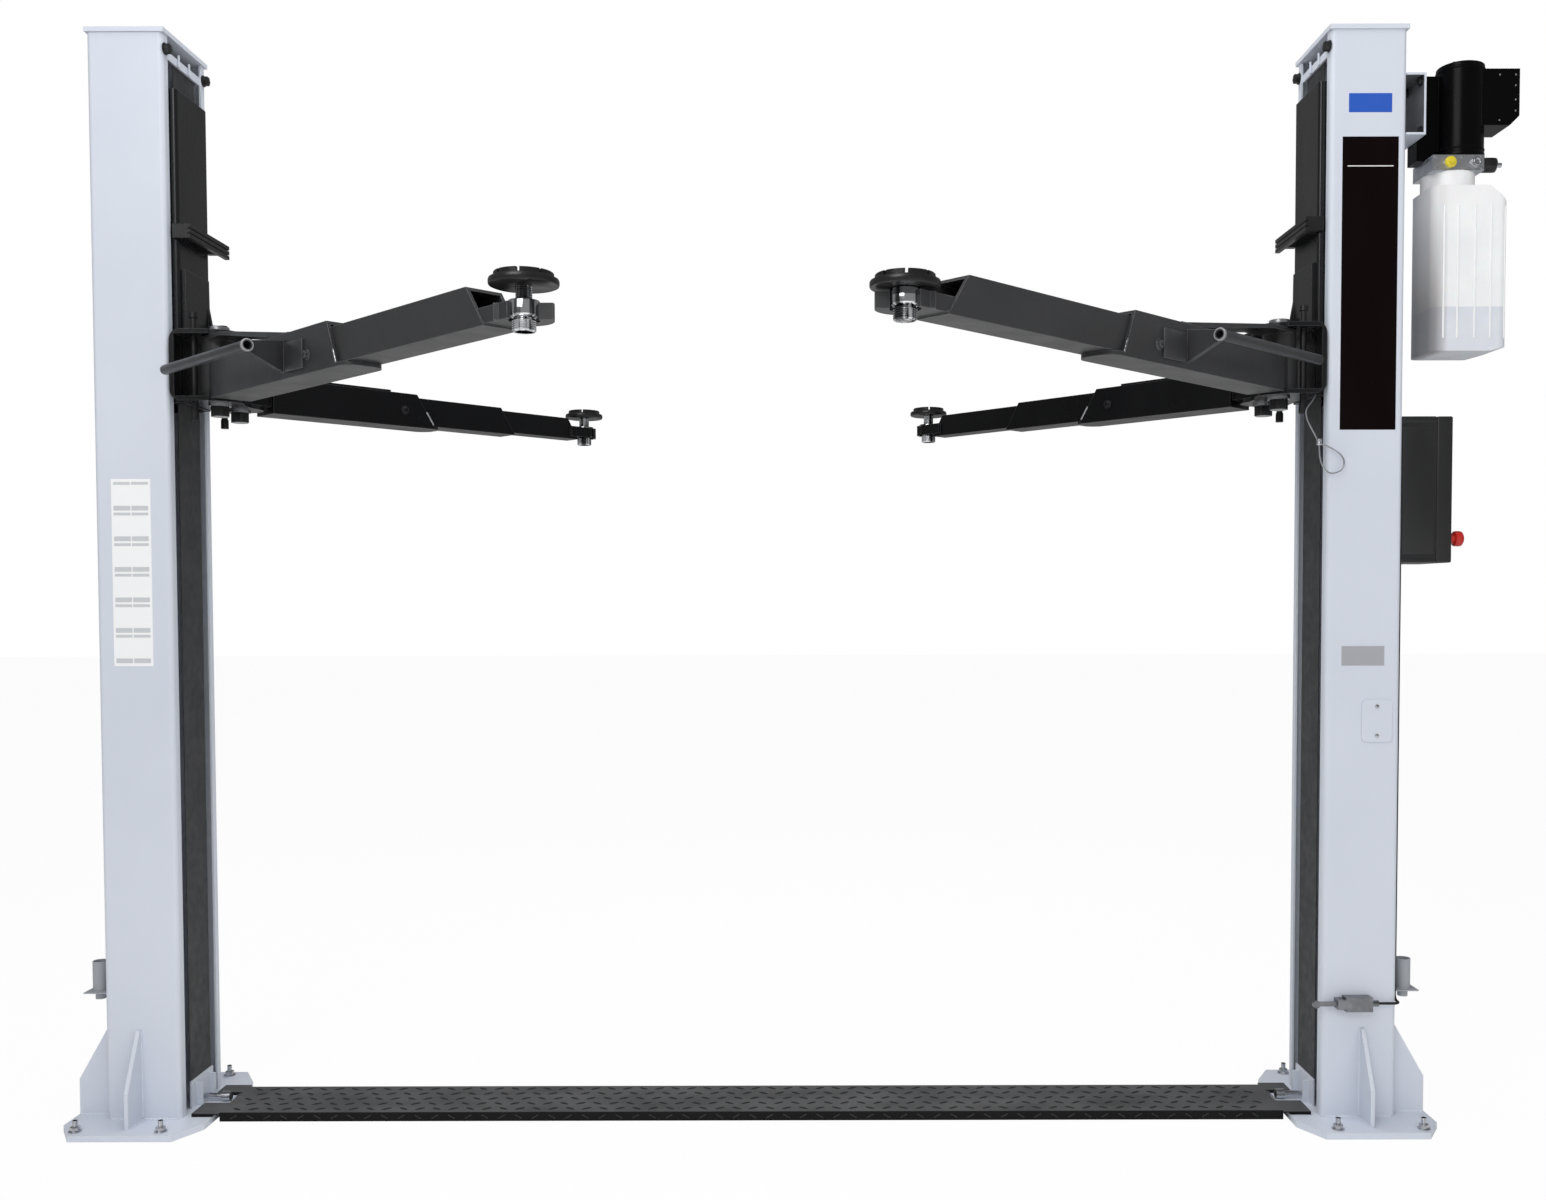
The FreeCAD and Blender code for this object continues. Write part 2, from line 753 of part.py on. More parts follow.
def carriage(side_name, side):
    """The lifting carriage: a box inside the column whose front plate stands out through the slot."""
    plate_back = carriage_out + size("carriage_plate")
    wide = size("carriage_half_width")
    near_in = wide - size("carriage_near_web")
    far_in = wide - size("carriage_far_web")
    front = lip_back + size("carriage_behind_lip")
    front_in = front + size("carriage_front_wall")
    back = web - size("column_wall") - size("carriage_back_gap")
    side_out = half - size("column_wall") - size("carriage_side_gap")
    wall = size("carriage_wall")
    outer = [(carriage_out, -wide), (front, -wide), (front, -side_out), (back, -side_out),
             (back, side_out), (front, side_out), (front, wide), (carriage_out, wide)]
    inner = [(plate_back, -near_in), (front_in, -near_in), (front_in, wall - side_out),
             (back - wall, wall - side_out), (back - wall, side_out - wall), (front_in, side_out - wall),
             (front_in, far_in), (plate_back, far_in)]
    low, high = carriage_base(), (carriage_base() + size("carriage_height"))
    name = f"{side_name}_carriage"
    shell = prism(name + "_shell", "XY", [(side * x, y) for x, y in outer], low, high,
                  [((0, 7), size("carriage_round"))])
    hollow = prism(name + "_hollow", "XY", [(side * x, y) for x, y in inner], low - wall, high + wall)
    blocks = []
    tall, gap, inset = size("slider_height"), size("slider_gap"), size("slider_inset")
    for level, start in enumerate((low + inset, high - inset - tall)):
        for end in (-1, 1):
            ys = sorted_pair(end * (slot + inset / 2), end * side_out)
            blocks.append(block(f"{name}_slider_front{level}{end + 1}", span(side, lip_back + gap, front), ys,
                                (start, start + tall)))
            blocks.append(block(f"{name}_slider_back{level}{end + 1}",
                                span(side, back, web - size("column_wall") - gap), ys, (start, start + tall)))
            ys = sorted_pair(end * side_out, end * (half - size("column_wall") - gap))
            blocks.append(block(f"{name}_slider_side{level}{end + 1}", span(side, front_in, back - wall), ys,
                                (start, start + tall)))
    node(name, lifted(join(name, cut(name + "_frame", shell, hollow), *blocks), side))


def sorted_pair(first, second):
    """Two formulas as a rising pair."""
    return (first, second) if first.number < second.number else (second, first)


def arm_bracket(side_name, side):
    """The C bracket that carries both arm pivots, with the face plate and ribs above it."""
    name = f"{side_name}_arm_bracket"
    low, thick = carriage_base(), size("bracket_plate")
    back = carriage_out + size("carriage_plate")
    pivot_x, wide = size("pivot_x"), size("bracket_half")
    outline = [(back, low), (pivot_x, low), (pivot_x, low + thick), (carriage_out, low + thick),
               (carriage_out, bracket_top - thick), (pivot_x, bracket_top - thick), (pivot_x, bracket_top),
               (back, bracket_top)]
    channel = prism(name + "_channel", "XZ", [(side * x, z) for x, z in outline], -wide, wide,
                    [((0, 7), size("bracket_corner"))])
    parts = [channel]
    for start in (low, bracket_top - thick):
        for end in (-1, 1):
            parts.append(rod(f"{name}_lobe{len(parts)}", size("bracket_lobe"),
                             (side * pivot_x, end * size("pivot_y"), start), thick))
        reach = pivot_x - size("bracket_lobe") + thick
        parts.append(block(f"{name}_bridge{len(parts)}", span(side, reach, pivot_x),
                           (-size("pivot_y"), size("pivot_y")), (start, start + thick)))
    plate_out = carriage_out - size("face_plate_thick")
    high = bracket_top + size("face_plate_rise")
    face_near = size("face_plate_shift") - size("face_plate_half")
    face_far = size("face_plate_shift") + size("face_plate_half")
    parts.append(block(name + "_face", span(side, plate_out, carriage_out), (face_near, face_far),
                       (bracket_top, high)))
    rise, reach = size("face_plate_rise"), size("rib_reach")
    edge = [(carriage_out, bracket_top), (carriage_out - reach, bracket_top),
            (carriage_out - reach * 0.55, bracket_top + rise * 0.24),
            (carriage_out - reach * 0.3, bracket_top + rise * 0.55), (plate_out, high), (carriage_out, high)]
    parts.append(prism(name + "_rib", "XZ", [(side * x, z) for x, z in edge], face_far - size("rib_thick"),
                       face_far))
    body = join(name + "_body", *parts)
    tools = [block(name + "_seat", span(side, carriage_out, back + thick),
                   (-size("carriage_half_width"), size("carriage_half_width")),
                   (low - thick, bracket_top + thick))]
    for end in (-1, 1):
        tools.append(rod(f"{name}_pin_hole{end + 1}", size("pin_radius") + size("pin_gap"),
                         (side * pivot_x, end * size("pivot_y"), low - thick), bracket_top))
        tools.append(rod(f"{name}_lock_hole{end + 1}", size("lock_radius") + size("lock_gap"),
                         (side * size("lock_x"), end * size("lock_y"), low - thick), bracket_top))
    node(name, lifted(cut(name, body, *tools), side))


def door_guard(side_name, side):
    """The ribbed guard strip that wraps round the carriage's front."""
    name = f"{side_name}_door_guard"
    low, high = (carriage_base() + size("guard_rise")), (carriage_base() + size("guard_rise")) + size("guard_height")
    skin, ribs = size("guard_skin"), size("guard_rib_out")
    face_x = carriage_out - size("guard_out") + ribs
    near, far = -size("guard_near"), size("guard_far")
    back = carriage_out + size("carriage_plate")
    wide = size("carriage_half_width")
    strip = block(name + "_strip", span(side, face_x, face_x + skin), (near, far), (low, high))
    leg = block(name + "_leg", span(side, face_x, back), (near, -wide), (low, high))
    post = block(name + "_post", span(side, face_x + skin, carriage_out),
                 (wide - size("guard_post"), wide), (low, high))
    bars = []
    step = (size("guard_height") - size("guard_rib_height")) / 2
    for number in range(3):
        start = low + number * step
        zs = (start, start + size("guard_rib_height"))
        bars.append(prism(f"{name}_rib{number}", "XY",
                          [(side * (face_x - ribs), near), (side * face_x, near), (side * face_x, far),
                           (side * (face_x - ribs), far)], *zs))
    node(name, lifted(join(name, strip, leg, post, *bars), side))


def pivot_pins(side_name, side):
    """The two headed pins that the arms swing on."""
    pins = []
    for end in (-1, 1):
        spot = (side * size("pivot_x"), end * size("pivot_y"))
        name = f"{side_name}_pin{end + 1}"
        low = carriage_base()
        washer_low = low - size("pin_washer_rise")
        bottom = low - size("pin_below")
        pins.append(join(
            name,
            rod(name + "_shank", size("pin_radius"), (*spot, bottom), bracket_top - bottom),
            rod(name + "_washer", size("pin_washer_radius"), (*spot, washer_low), size("pin_washer_rise")),
            rod(name + "_nut", size("pin_nut_radius"), (*spot, bottom), washer_low - bottom),
            rod(name + "_head", size("pin_head_radius"), (*spot, bracket_top), size("pin_head_rise"))))
    node(f"{side_name}_pivot_pins", lifted(group(f"{side_name}_pivot_pins", *pins), side))


def lock_pin(side_name, side, end_name, end):
    """The sprung lock pin beside a pivot, with its knob above and its foot below the bracket."""
    name = f"{side_name}_{end_name}_lock_pin"
    spot = (side * size("lock_x"), end * size("lock_y"))
    low = carriage_base() - size("lock_below")
    top = bracket_top + size("lock_above")
    foot = size("lock_below") - size("lock_foot_clear")
    knob_top = top + size("lock_knob_rise")
    pin = join(
        name,
        rod(name + "_shaft", size("lock_radius"), (*spot, low), top - low),
        rod(name + "_foot", size("lock_foot_radius"), (*spot, low), foot),
        rod(name + "_knob", size("lock_knob_radius"), (*spot, top), knob_top - top))
    node(name, lifted(pin, side))


def heading(side, end, angle):
    """The turn of an arm's own +X axis from the row's +X axis."""
    return end * angle if side < 0 else 180 - end * angle


def swing(item, side, end, angle):
    """Puts a piece drawn along its own +X on its pivot, turned to the arm's direction."""
    spot = (side * size("pivot_x"), end * size("pivot_y"), level(side))
    return place(item, *spot, heading(side, end, angle))


def level(side):
    """How much higher this side's carriage stands than the left one."""
    return size("right_raise") if side > 0 else as_formula(0)


def lifted(item, side):
    """Puts a piece of a carriage at that side's level."""
    return place(item, 0, 0, level(side))


def tube(name, start, top_end, low_end, low, height, width, wall, floor):
    """A rectangular tube along +X whose far end slants from its top to its bottom."""
    shell = prism(name + "_shell", "XZ",
                  [(start, low), (low_end, low), (top_end, low + height), (start, low + height)],
                  -width / 2, width / 2)
    hollow = block(name + "_hollow", (start + floor, as_formula(low_end) + width),
                   (wall - width / 2, width / 2 - wall), (low + floor, low + height - floor))
    return shell, hollow


def arm_root(name, low, top):
    """The solid lug, neck and hub that turn on the pivot pin."""
    lug_low = carriage_base() + size("bracket_plate") + size("lug_low_gap")
    lug = rod(name + "_lug", size("lug_radius"), (0, 0, lug_low), size("lug_height"))
    neck = block(name + "_neck", (0, size("arm_start") + size("arm_wall")),
                 (-size("neck_half"), size("neck_half")), (lug_low, lug_low + size("lug_height") - size("arm_floor")))
    hub_top = bracket_top - size("bracket_plate") - size("lug_low_gap")
    hub = rod(name + "_hub", size("hub_radius"), (0, 0, lug_low), hub_top - lug_low)
    hole = rod(name + "_bore", size("pin_radius") + size("pin_gap"), (0, 0, low), top)
    return (lug, neck, hub), hole


def handle_wing(name, outer, extra):
    """The upright web between the handle tube's far end and the side of the arm."""
    near = outer * (size("arm_width") / 2 - size("arm_wall") / 2)
    off = outer * size("handle_off")
    radius = size("handle_radius")
    mid = (carriage_base() + size("handle_rise"))
    far_side = outer * (size("handle_off") - radius / 2)
    face = prism(name + "_wing_face", "YZ",
                 [(near, (carriage_base() + size("wing_low_rise"))), (off, mid - radius), (off, mid + radius / 2),
                  (far_side, mid + radius), (near, (carriage_base() + size("wing_high_rise")))], 0, size("wing_end"))
    slab = prism(name + "_wing_slab", "XY",
                 [(size("wing_start"), near), (size("wing_start") + size("wing_thick"), near),
                  (size("wing_end"), off), (size("wing_end") - size("wing_thick"), off)],
                 (carriage_base() + size("wing_low_rise")), (carriage_base() + size("wing_high_rise")))
    wing = document.addObject("Part::Common", name + "_wing")
    wing.Base = face
    wing.Tool = slab
    return place(wing, extra, 0, 0)


def near_arm(side_name, side):
    """The outer tube of a near arm, with its root, tongue, handle tube and wing plate."""
    name = f"{side_name}_near_arm"
    extra = size("right_near_extra") if side > 0 else as_formula(0)
    start, width = size("arm_start"), size("arm_width")
    low, height, wall, floor = (carriage_base() + size("arm_rise")), size("arm_height"), size("arm_wall"), size("arm_floor")
    shell, _ = tube(name + "_tube", start, size("near_mouth_top") + extra, size("near_mouth_low") + extra,
                    low, height, width, wall, floor)
    tip = size("near_tongue") + extra
    tongue = prism(name + "_tongue", "XY",
                   [(start, -width / 2), (tip, -width / 2), (tip, width / 2), (start, width / 2)],
                   low, low + floor, [((1, 2), size("tongue_round"))])
    root, bore = arm_root(name, low, bracket_top)
    outer = -1 if side < 0 else 1
    off = outer * size("handle_off")
    grip_end = size("handle_end") + extra
    grip = rod(name + "_grip", size("handle_radius"), (size("handle_start") + extra, off, (carriage_base() + size("handle_rise"))),
               size("handle_end") - size("handle_start"), "x")
    grip_bore = rod(name + "_grip_bore", size("handle_radius") - size("handle_wall"),
                    (grip_end - width, off, (carriage_base() + size("handle_rise"))), width + wall, "x")
    wing = handle_wing(name, outer, extra)
    top = low + height
    crest = bracket_top - size("bracket_plate") - size("lug_low_gap")
    strap = size("brace_thick")
    brace_end = size("brace_end") + extra
    brace = prism(name + "_brace", "XZ",
                  [(0, crest - strap), (size("brace_flat"), crest - strap),
                   (brace_end - size("brace_foot"), top - strap / 2), (brace_end, top - strap / 2),
                   (brace_end, top + strap / 5), (size("brace_flat"), crest), (0, crest)],
                  -size("brace_half"), size("brace_half"))
    solid = join(name + "_solid", shell, tongue, grip, wing, brace, *root)
    hollow = block(name + "_inside", (start + size("arm_plug"), tip + width),
                   (wall - width / 2, width / 2 - wall), (low + floor, low + height - wall))
    made = cut(name, solid, hollow, bore, grip_bore)
    node(name, swing(made, side, -1, size("near_angle")))


def head_parts(name, reach, radius, neck_start, turn):
    """The head at an arm's end with its flat face, and the bore that its collar stands half out of."""
    low, height = (carriage_base() + size("head_rise")), size("head_height")
    full = rod(name + "_head_disc", radius, (reach, 0, low), height)
    flat = block(name + "_head_flat", (size("head_face"), size("head_face") + radius), (-radius, radius),
                 (low - height, low + 2 * height))
    place(flat, reach, 0, low - height, turn)
    shift = size("head_face")
    flat.setExpression("Placement", f"placement(vector({reach.text}; 0; {(low - height).text}); "
                       f"rotation(vector(0; 0; 1); {as_formula(turn).text})) * "
                       f"placement(vector({shift.text}; {(-radius).text}; 0); rotation(vector(0; 0; 1); 0))")
    disc = cut(name + "_head", full, flat)
    neck = block(name + "_head_neck", (neck_start, reach), (-size("head_neck_half"), size("head_neck_half")),
                 (low, low + height))
    bore = rod(name + "_head_bore", size("collar_radius") + size("screw_gap"), (reach, 0, low - height), 3 * height)
    return (disc, neck), bore


def near_extension(side_name, side):
    """The inner tube of a near arm with the head that holds the pad's collar."""
    name = f"{side_name}_near_extension"
    extra = size("right_near_extra") if side > 0 else as_formula(0)
    gap = size("slide_gap")
    low = (carriage_base() + size("arm_rise")) + size("arm_floor") + gap
    width = size("arm_width") - 2 * (size("arm_wall") + size("near_side_gap"))
    height = size("near_inner_height")
    wall = size("near_inner_wall")
    reach = size("left_near_reach") + extra
    start = size("near_inner_start") + extra
    low_end = reach - size("near_low_back")
    shell, hollow = tube(name, start, reach - size("near_top_back"), low_end, low, height, width, wall, wall)
    turn = side * (90 - size("near_angle"))
    head, bore = head_parts(name, reach, size("near_head_radius"), low_end - size("head_height") * 3, turn)
    tray = block(name + "_head_floor", (low_end - size("head_height") * 4, low_end), (-width / 2, width / 2),
                 (low, low + wall))
    body = cut(name + "_tube", shell, hollow)
    made = cut(name, join(name + "_body", body, tray, *head), bore)
    node(name, swing(made, side, -1, size("near_angle")))
    return reach


def far_arm(side_name, side):
    """The outer tube of a far arm with its root, tongue and top doubler."""
    name = f"{side_name}_far_arm"
    start, width = size("arm_start"), size("arm_width")
    low, height, wall, floor = (carriage_base() - size("far_drop")), size("far_height"), size("far_wall"), size("far_floor")
    shell, _ = tube(name + "_tube", start, size("far_mouth_top"), size("far_mouth_low"), low, height,
                    width, wall, floor)
    tongue = prism(name + "_tongue", "XY",
                   [(start, -width / 2), (size("far_tongue"), -width / 2), (size("far_tongue"), width / 2),
                    (start, width / 2)], low, low + floor, [((1, 2), size("tongue_round"))])
    doubler = block(name + "_doubler", (size("far_doubler_start"), size("far_doubler_end")),
                    (-size("far_doubler_half"), size("far_doubler_half")),
                    (low + height, low + height + size("far_doubler_rise")))
    root, bore = arm_root(name, low, bracket_top)
    solid = join(name + "_solid", shell, tongue, doubler, *root)
    hollow = block(name + "_inside", (start + size("arm_plug"), size("far_tongue") + width),
                   (wall - width / 2, width / 2 - wall), (low + floor, low + height - floor))
    node(name, swing(cut(name, solid, hollow, bore), side, 1, size("far_angle")))


def far_middle(side_name, side):
    """The middle tube of a far arm."""
    name = f"{side_name}_far_middle"
    gap = size("slide_gap")
    low = (carriage_base() - size("far_drop")) + size("far_floor") + gap
    height = size("far_height") - 2 * (size("far_floor") + gap)
    width = size("arm_width") - 2 * (size("far_wall") + size("far_side_gap"))
    shell, hollow = tube(name, size("middle_start"), size("middle_top_end"), size("middle_low_end"), low,
                         height, width, size("middle_wall"), size("middle_floor"))
    through = block(name + "_through", (size("middle_start"), size("middle_start") + width),
                    (size("middle_wall") - width / 2, width / 2 - size("middle_wall")),
                    (low + size("middle_floor"), low + height - size("middle_floor")))
    node(name, swing(cut(name, shell, hollow, through), side, 1, size("far_angle")))


def far_extension(side_name, side):
    """The inner tube of a far arm with the head that holds the pad's collar."""
    name = f"{side_name}_far_extension"
    gap = size("slide_gap")
    extra = size("right_far_extra") if side > 0 else as_formula(0)
    low = (carriage_base() - size("far_drop")) + size("far_floor") + size("middle_floor") + 2 * gap
    height = size("far_height") - 2 * (size("far_floor") + size("middle_floor") + 2 * gap)
    width = size("arm_width") - 2 * (size("far_wall") + size("middle_wall") + 2 * size("far_side_gap"))
    wall = size("far_inner_wall")
    reach = size("left_far_reach") + extra
    low_end = reach - size("far_low_back")
    shell, hollow = tube(name, size("far_inner_start") + extra, reach - size("far_top_back"), low_end,
                         low, height, width, wall, wall)
    turn = side * (90 + size("far_angle"))
    head, bore = head_parts(name, reach, size("far_head_radius"), low_end - size("head_height"), turn)
    body = cut(name + "_tube", shell, hollow)
    floor = block(name + "_head_floor", (low_end - size("head_height") * 2, low_end - size("head_height") / 2),
                  (-width / 2, width / 2), (low, (carriage_base() + size("head_rise")) + size("head_height")))
    made = cut(name, join(name + "_body", body, floor, *head), bore)
    node(name, swing(made, side, 1, size("far_angle")))
    return reach


def pad_set(side_name, side, end_name, end, reach, radius, angle, raise_by):
    """The chromed collar, the screw and the rubber pad at an arm's end."""
    name = f"{side_name}_{end_name}"
    low, top = (carriage_base() - size("collar_drop")), (carriage_base() - size("collar_drop") + size("collar_height"))
    nut_top = low + size("collar_nut_height")
    cone_top = nut_top + size("collar_cone_height")
    bush = join(name + "_bush",
                rod(name + "_bush_nut", size("collar_nut_radius"), (reach, 0, low), size("collar_nut_height")),
                cone(name + "_bush_cone", size("collar_nut_radius"), size("collar_radius"),
                     (reach, 0, nut_top), size("collar_cone_height")),
                rod(name + "_bush_top", size("collar_radius"), (reach, 0, cone_top), top - cone_top))
    bore = rod(name + "_bush_bore", size("screw_radius") + size("screw_gap"), (reach, 0, low - top), 3 * top)
    node(f"{name}_collar", swing(cut(f"{name}_collar", bush, bore), side, end, angle))
    pad_low = top + size("pad_down_gap") + raise_by
    screw_low = pad_low - size("screw_engaged")
    cup = size("pad_cup_depth")
    bevel = size("screw_bevel")
    shank = rod(f"{name}_screw_shank", size("screw_radius"), (reach, 0, screw_low), pad_low + cup - screw_low)
    point = cone(f"{name}_screw_point", size("screw_radius") - bevel, size("screw_radius"),
                 (reach, 0, screw_low - bevel), bevel)
    screw = join(f"{name}_screw", shank, point)
    node(f"{name}_screw", swing(screw, side, end, angle))
    disc = rod(name + "_disc", radius, (reach, 0, pad_low), size("pad_thick"))
    rim = rod(name + "_rim", radius - size("pad_step"), (reach, 0, pad_low + size("pad_thick")), size("pad_rim_rise"))
    well = rod(name + "_well", radius - size("pad_step") - size("pad_rim_width"),
               (reach, 0, pad_low + size("pad_thick")), size("pad_rim_rise") + cup)
    socket = rod(name + "_socket", size("screw_radius") + size("screw_gap"), (reach, 0, pad_low - cup), 2 * cup)
    made = cut(f"{name}_pad", join(name + "_pad_body", disc, rim), well, socket)
    node(f"{name}_pad", swing(made, side, end, angle))


def power_unit():
    """The bracket, motor, terminal box, pump block, valve and oil tank beside the right column."""
    y = size("unit_y")
    reach = web + size("unit_bracket_out")
    skin, wide = size("unit_bracket_skin"), size("unit_bracket_half")
    high = size("lift_top") - size("unit_bracket_drop")
    low = high - size("unit_bracket_tall")
    outline = [(web, low), (reach, low), (reach, high), (web, high), (web, high - skin),
               (reach - skin, high - skin), (reach - skin, low + skin), (web, low + skin)]
    node("power_unit_bracket", prism("power_unit_bracket", "XZ", outline, y - wide, y + wide))
    cradle_half = size("motor_cradle") / 2
    motor_low = size("lift_top") - size("motor_base_drop")
    barrel = rod("motor_barrel", size("motor_radius"), (size("motor_x"), y, motor_low), size("motor_tall"))
    cradle_top = motor_low + size("motor_tall") - size("cradle_top_gap")
    cradle = block("motor_cradle", (reach, size("motor_x")), (y - size("cradle_front"), y + cradle_half),
                   (motor_low, cradle_top))
    node("pump_motor", join("pump_motor", barrel, cradle))
    term_low = motor_low + size("terminal_rise")
    term_high = term_low + size("terminal_tall")
    term_in = size("motor_x")
    term_out = size("motor_x") + size("motor_radius") + size("terminal_out")
    bevel = size("terminal_chamfer")
    depth = size("terminal_depth") / 2
    case = prism("terminal_case", "XZ",
                 [(term_in, term_low), (term_out - bevel, term_low), (term_out, term_low + bevel),
                  (term_out, term_high), (term_in, term_high)], y - depth, y + depth)
    bore = rod("terminal_bore", size("motor_radius"), (size("motor_x"), y, term_low - bevel),
               term_high - term_low + 2 * bevel)
    behind = block("terminal_behind", (term_in - skin, term_in + size("motor_radius") / 2), (y - 2 * depth, y + 2 * depth),
                   (term_low - bevel, term_high + bevel))
    node("terminal_box", cut("terminal_box", case, bore, behind))
    left, right, wide = size("block_left"), size("block_right"), size("block_half")
    block_top = motor_low
    block_low = block_top - size("block_height")
    node("pump_block", block("pump_block", (left, right), (y - wide, y + wide), (block_low, block_top)))
    mid = block_low + size("block_height") / 2
    plugs = [rod(f"pump_plug{number}", size("plug_radius"),
                 (left + size("plug_from_left") + number * size("plug_spacing"), y - wide, mid),
                 size("plug_out"), "-y") for number in range(2)]
    valve = join("pump_valve",
                 rod("valve_body", size("valve_radius"), (right, y - size("valve_front"), mid),
                     size("valve_out"), "x"),
                 rod("valve_tip", size("valve_tip_radius"),
                     (right + size("valve_out"), y - size("valve_front"), mid), size("valve_tip_out"), "x"))
    node("pump_fittings", group("pump_fittings", valve, *plugs))
    centre, wide, depth = size("tank_x"), size("tank_half_width"), size("tank_half_depth")
    high = motor_low - size("tank_top_drop")
    low = high - size("tank_tall")
    edge_x, edge_z = size("tank_shoulder_x"), size("tank_shoulder_z")
    heel_x, heel_z = size("tank_heel_x"), size("tank_heel_z")
    shape = [(centre - wide, low), (centre + wide - heel_x, low), (centre + wide, low + heel_z),
             (centre + wide, high - edge_z), (centre + wide - edge_x, high), (centre - wide, high)]
    front = prism("tank_front", "XZ", shape, y - depth, y + depth)
    corners = prism("tank_corners", "XY",
                    [(centre - wide, y - depth), (centre + wide, y - depth), (centre + wide, y + depth),
                     (centre - wide, y + depth)], low, high, [((0, 1, 2, 3), size("tank_round"))])
    outer = document.addObject("Part::Common", "tank_outer")
    outer.Base = front
    outer.Tool = corners
    neck = rod("tank_neck", size("neck_radius"), (size("neck_x"), y, high), block_low - high)
    wall = size("tank_wall")
    inside = block("tank_inside", (centre - wide + size("tank_round") / 2, centre + wide - size("tank_round") / 2),
                   (y - depth + wall, y + depth - wall), (low + heel_z + wall, high - edge_z - wall))
    node("oil_tank", cut("oil_tank", join("tank_body", outer, neck), inside))


def control_box():
    """The electrical box on the right column, with its lid line and stop button."""
    reach = web + size("box_out")
    seam = reach - size("box_lid")
    low, high = size("box_low"), size("box_high")
    front, back = -size("box_front"), size("box_back")
    shell = prism("box_shell", "XY", [(web, front), (reach, front), (reach, back), (web, back)], low, high,
                  [((1, 2), size("box_corner"))])
    ring = cut("box_seam_ring",
               block("box_seam_outer", (seam, seam + size("box_seam")), (front - 1, back + 1), (low - 1, high + 1)),
               block("box_seam_inner", (seam - 1, seam + size("box_seam") + 1),
                     (front + size("box_seam"), back - size("box_seam")),
                     (low + size("box_seam"), high - size("box_seam"))))
    spot = (reach - size("button_hole_depth"), size("button_y"), (size("box_low") + size("button_rise")))
    hole = rod("button_hole", size("button_stem_radius") + size("button_gap"), spot, 2 * size("button_hole_depth"), "x")
    node("control_box", cut("control_box", shell, ring, hole))
    stem_length = size("button_hole_depth") / 2 + size("button_stem_out")
    stem_start = (reach - size("button_hole_depth") / 2, size("button_y"), (size("box_low") + size("button_rise")))
    cap_start = (reach + size("button_stem_out"), size("button_y"), (size("box_low") + size("button_rise")))
    node("stop_button", join("stop_button",
                             rod("button_stem", size("button_stem_radius"), stem_start, stem_length, "x"),
                             rod("button_cap", size("button_radius"), cap_start, size("button_thick"), "x")))


def limit_switch():
    """The roller switch on the right column's front, and its lead up to the control box."""
    low, high = size("switch_low"), size("switch_low") + size("switch_height")
    back, front = -half, -half - size("switch_depth")
    body = block("switch_case", (size("switch_left"), size("switch_right")), (front, back), (low, high))
    head = block("switch_head", (size("switch_head_left"), size("switch_left")), (front, back),
                 (low + size("lever_height") / 2, high - size("lever_height") / 2))
    mid = low + size("switch_height") / 2
    lever_front = -half - size("lever_out") - size("lever_thick")
    lever_z = (mid - size("lever_height") / 2, mid + size("lever_height") / 2)
    lever = block("switch_lever", (size("lever_left"), size("switch_head_left")),
                  (lever_front - size("lever_thick"), lever_front), lever_z)
    roller = rod("switch_roller", size("roller_radius"), (size("lever_left"), lever_front, mid),
                 size("roller_width"), "-y")
    gland_start = (size("switch_right"), -half - size("switch_depth") / 2, mid)
    gland = rod("switch_gland", size("gland_radius"), gland_start, size("gland_length"), "x")
    node("limit_switch", join("limit_switch", body, head, lever, roller, gland))
    return (size("switch_right") + size("gland_length"), -half - size("switch_depth") / 2, mid)


def bent_rope(points, radius, share=0.45):
    """A round rope along straight runs that are joined by tangent arcs."""
    points = [FreeCAD.Vector(*point) for point in points]
    edges = []
    length = 0.0
    here = points[0]
    for index in range(1, len(points) - 1):
        back = points[index - 1] - points[index]
        ahead = points[index + 1] - points[index]
        reach = share * min(back.Length, ahead.Length)
        back.normalize()
        ahead.normalize()
        turn = math.pi - back.getAngle(ahead)
        bend = reach / math.tan(turn / 2)
        first = points[index] + back * reach
        last = points[index] + ahead * reach
        inward = (back + ahead).normalize()
        middle = points[index] + inward * (bend / math.cos(turn / 2) - bend)
        edges += [Part.LineSegment(here, first).toShape(), Part.Arc(first, middle, last).toShape()]
        here = last
    edges.append(Part.LineSegment(here, points[-1]).toShape())
    path = Part.Wire(edges)
    ring = Part.Wire([Part.Circle(points[0], points[1] - points[0], radius).toShape()])
    rope = path.makePipeShell([ring], True, False)
    expected = path.Length * math.pi * radius ** 2
    print(f"rope of {path.Length:.1f} mm, volume {rope.Volume:.0f}, section times length {expected:.0f}")
    return rope


def switch_lead(start):
    """The switch's lead: round the column's edge and straight up its web to the control box."""
    radius = SIZES["lead_radius"]
    x, y, z = (value.number for value in start)
    out = web.number + radius + SIZES["slide_gap"]
    deep = -half.number + SIZES["lead_inset"]
    route = [(x, y, z), (out, y, z), (out, deep, z), (out, deep, SIZES["box_low"])]
    lead = document.addObject("Part::Feature", "switch_lead")
    lead.Shape = bent_rope(route, radius)
    node("switch_lead", lead)


def lanyard():
    """The wire loop with its ferrule that hangs from the right carriage."""
    route = LANYARD_ROUTE
    rope = bent_rope(route, SIZES["lanyard_radius"])
    tall = SIZES["ferrule_height"]
    across, along, up = LANYARD_CLAMP
    ferrule = Part.makeCylinder(SIZES["ferrule_radius"], tall, FreeCAD.Vector(across, along, up - tall / 2))
    item = document.addObject("Part::Feature", "lanyard")
    item.Shape = rope.fuse(ferrule).removeSplitter()
    node("release_lanyard", item)


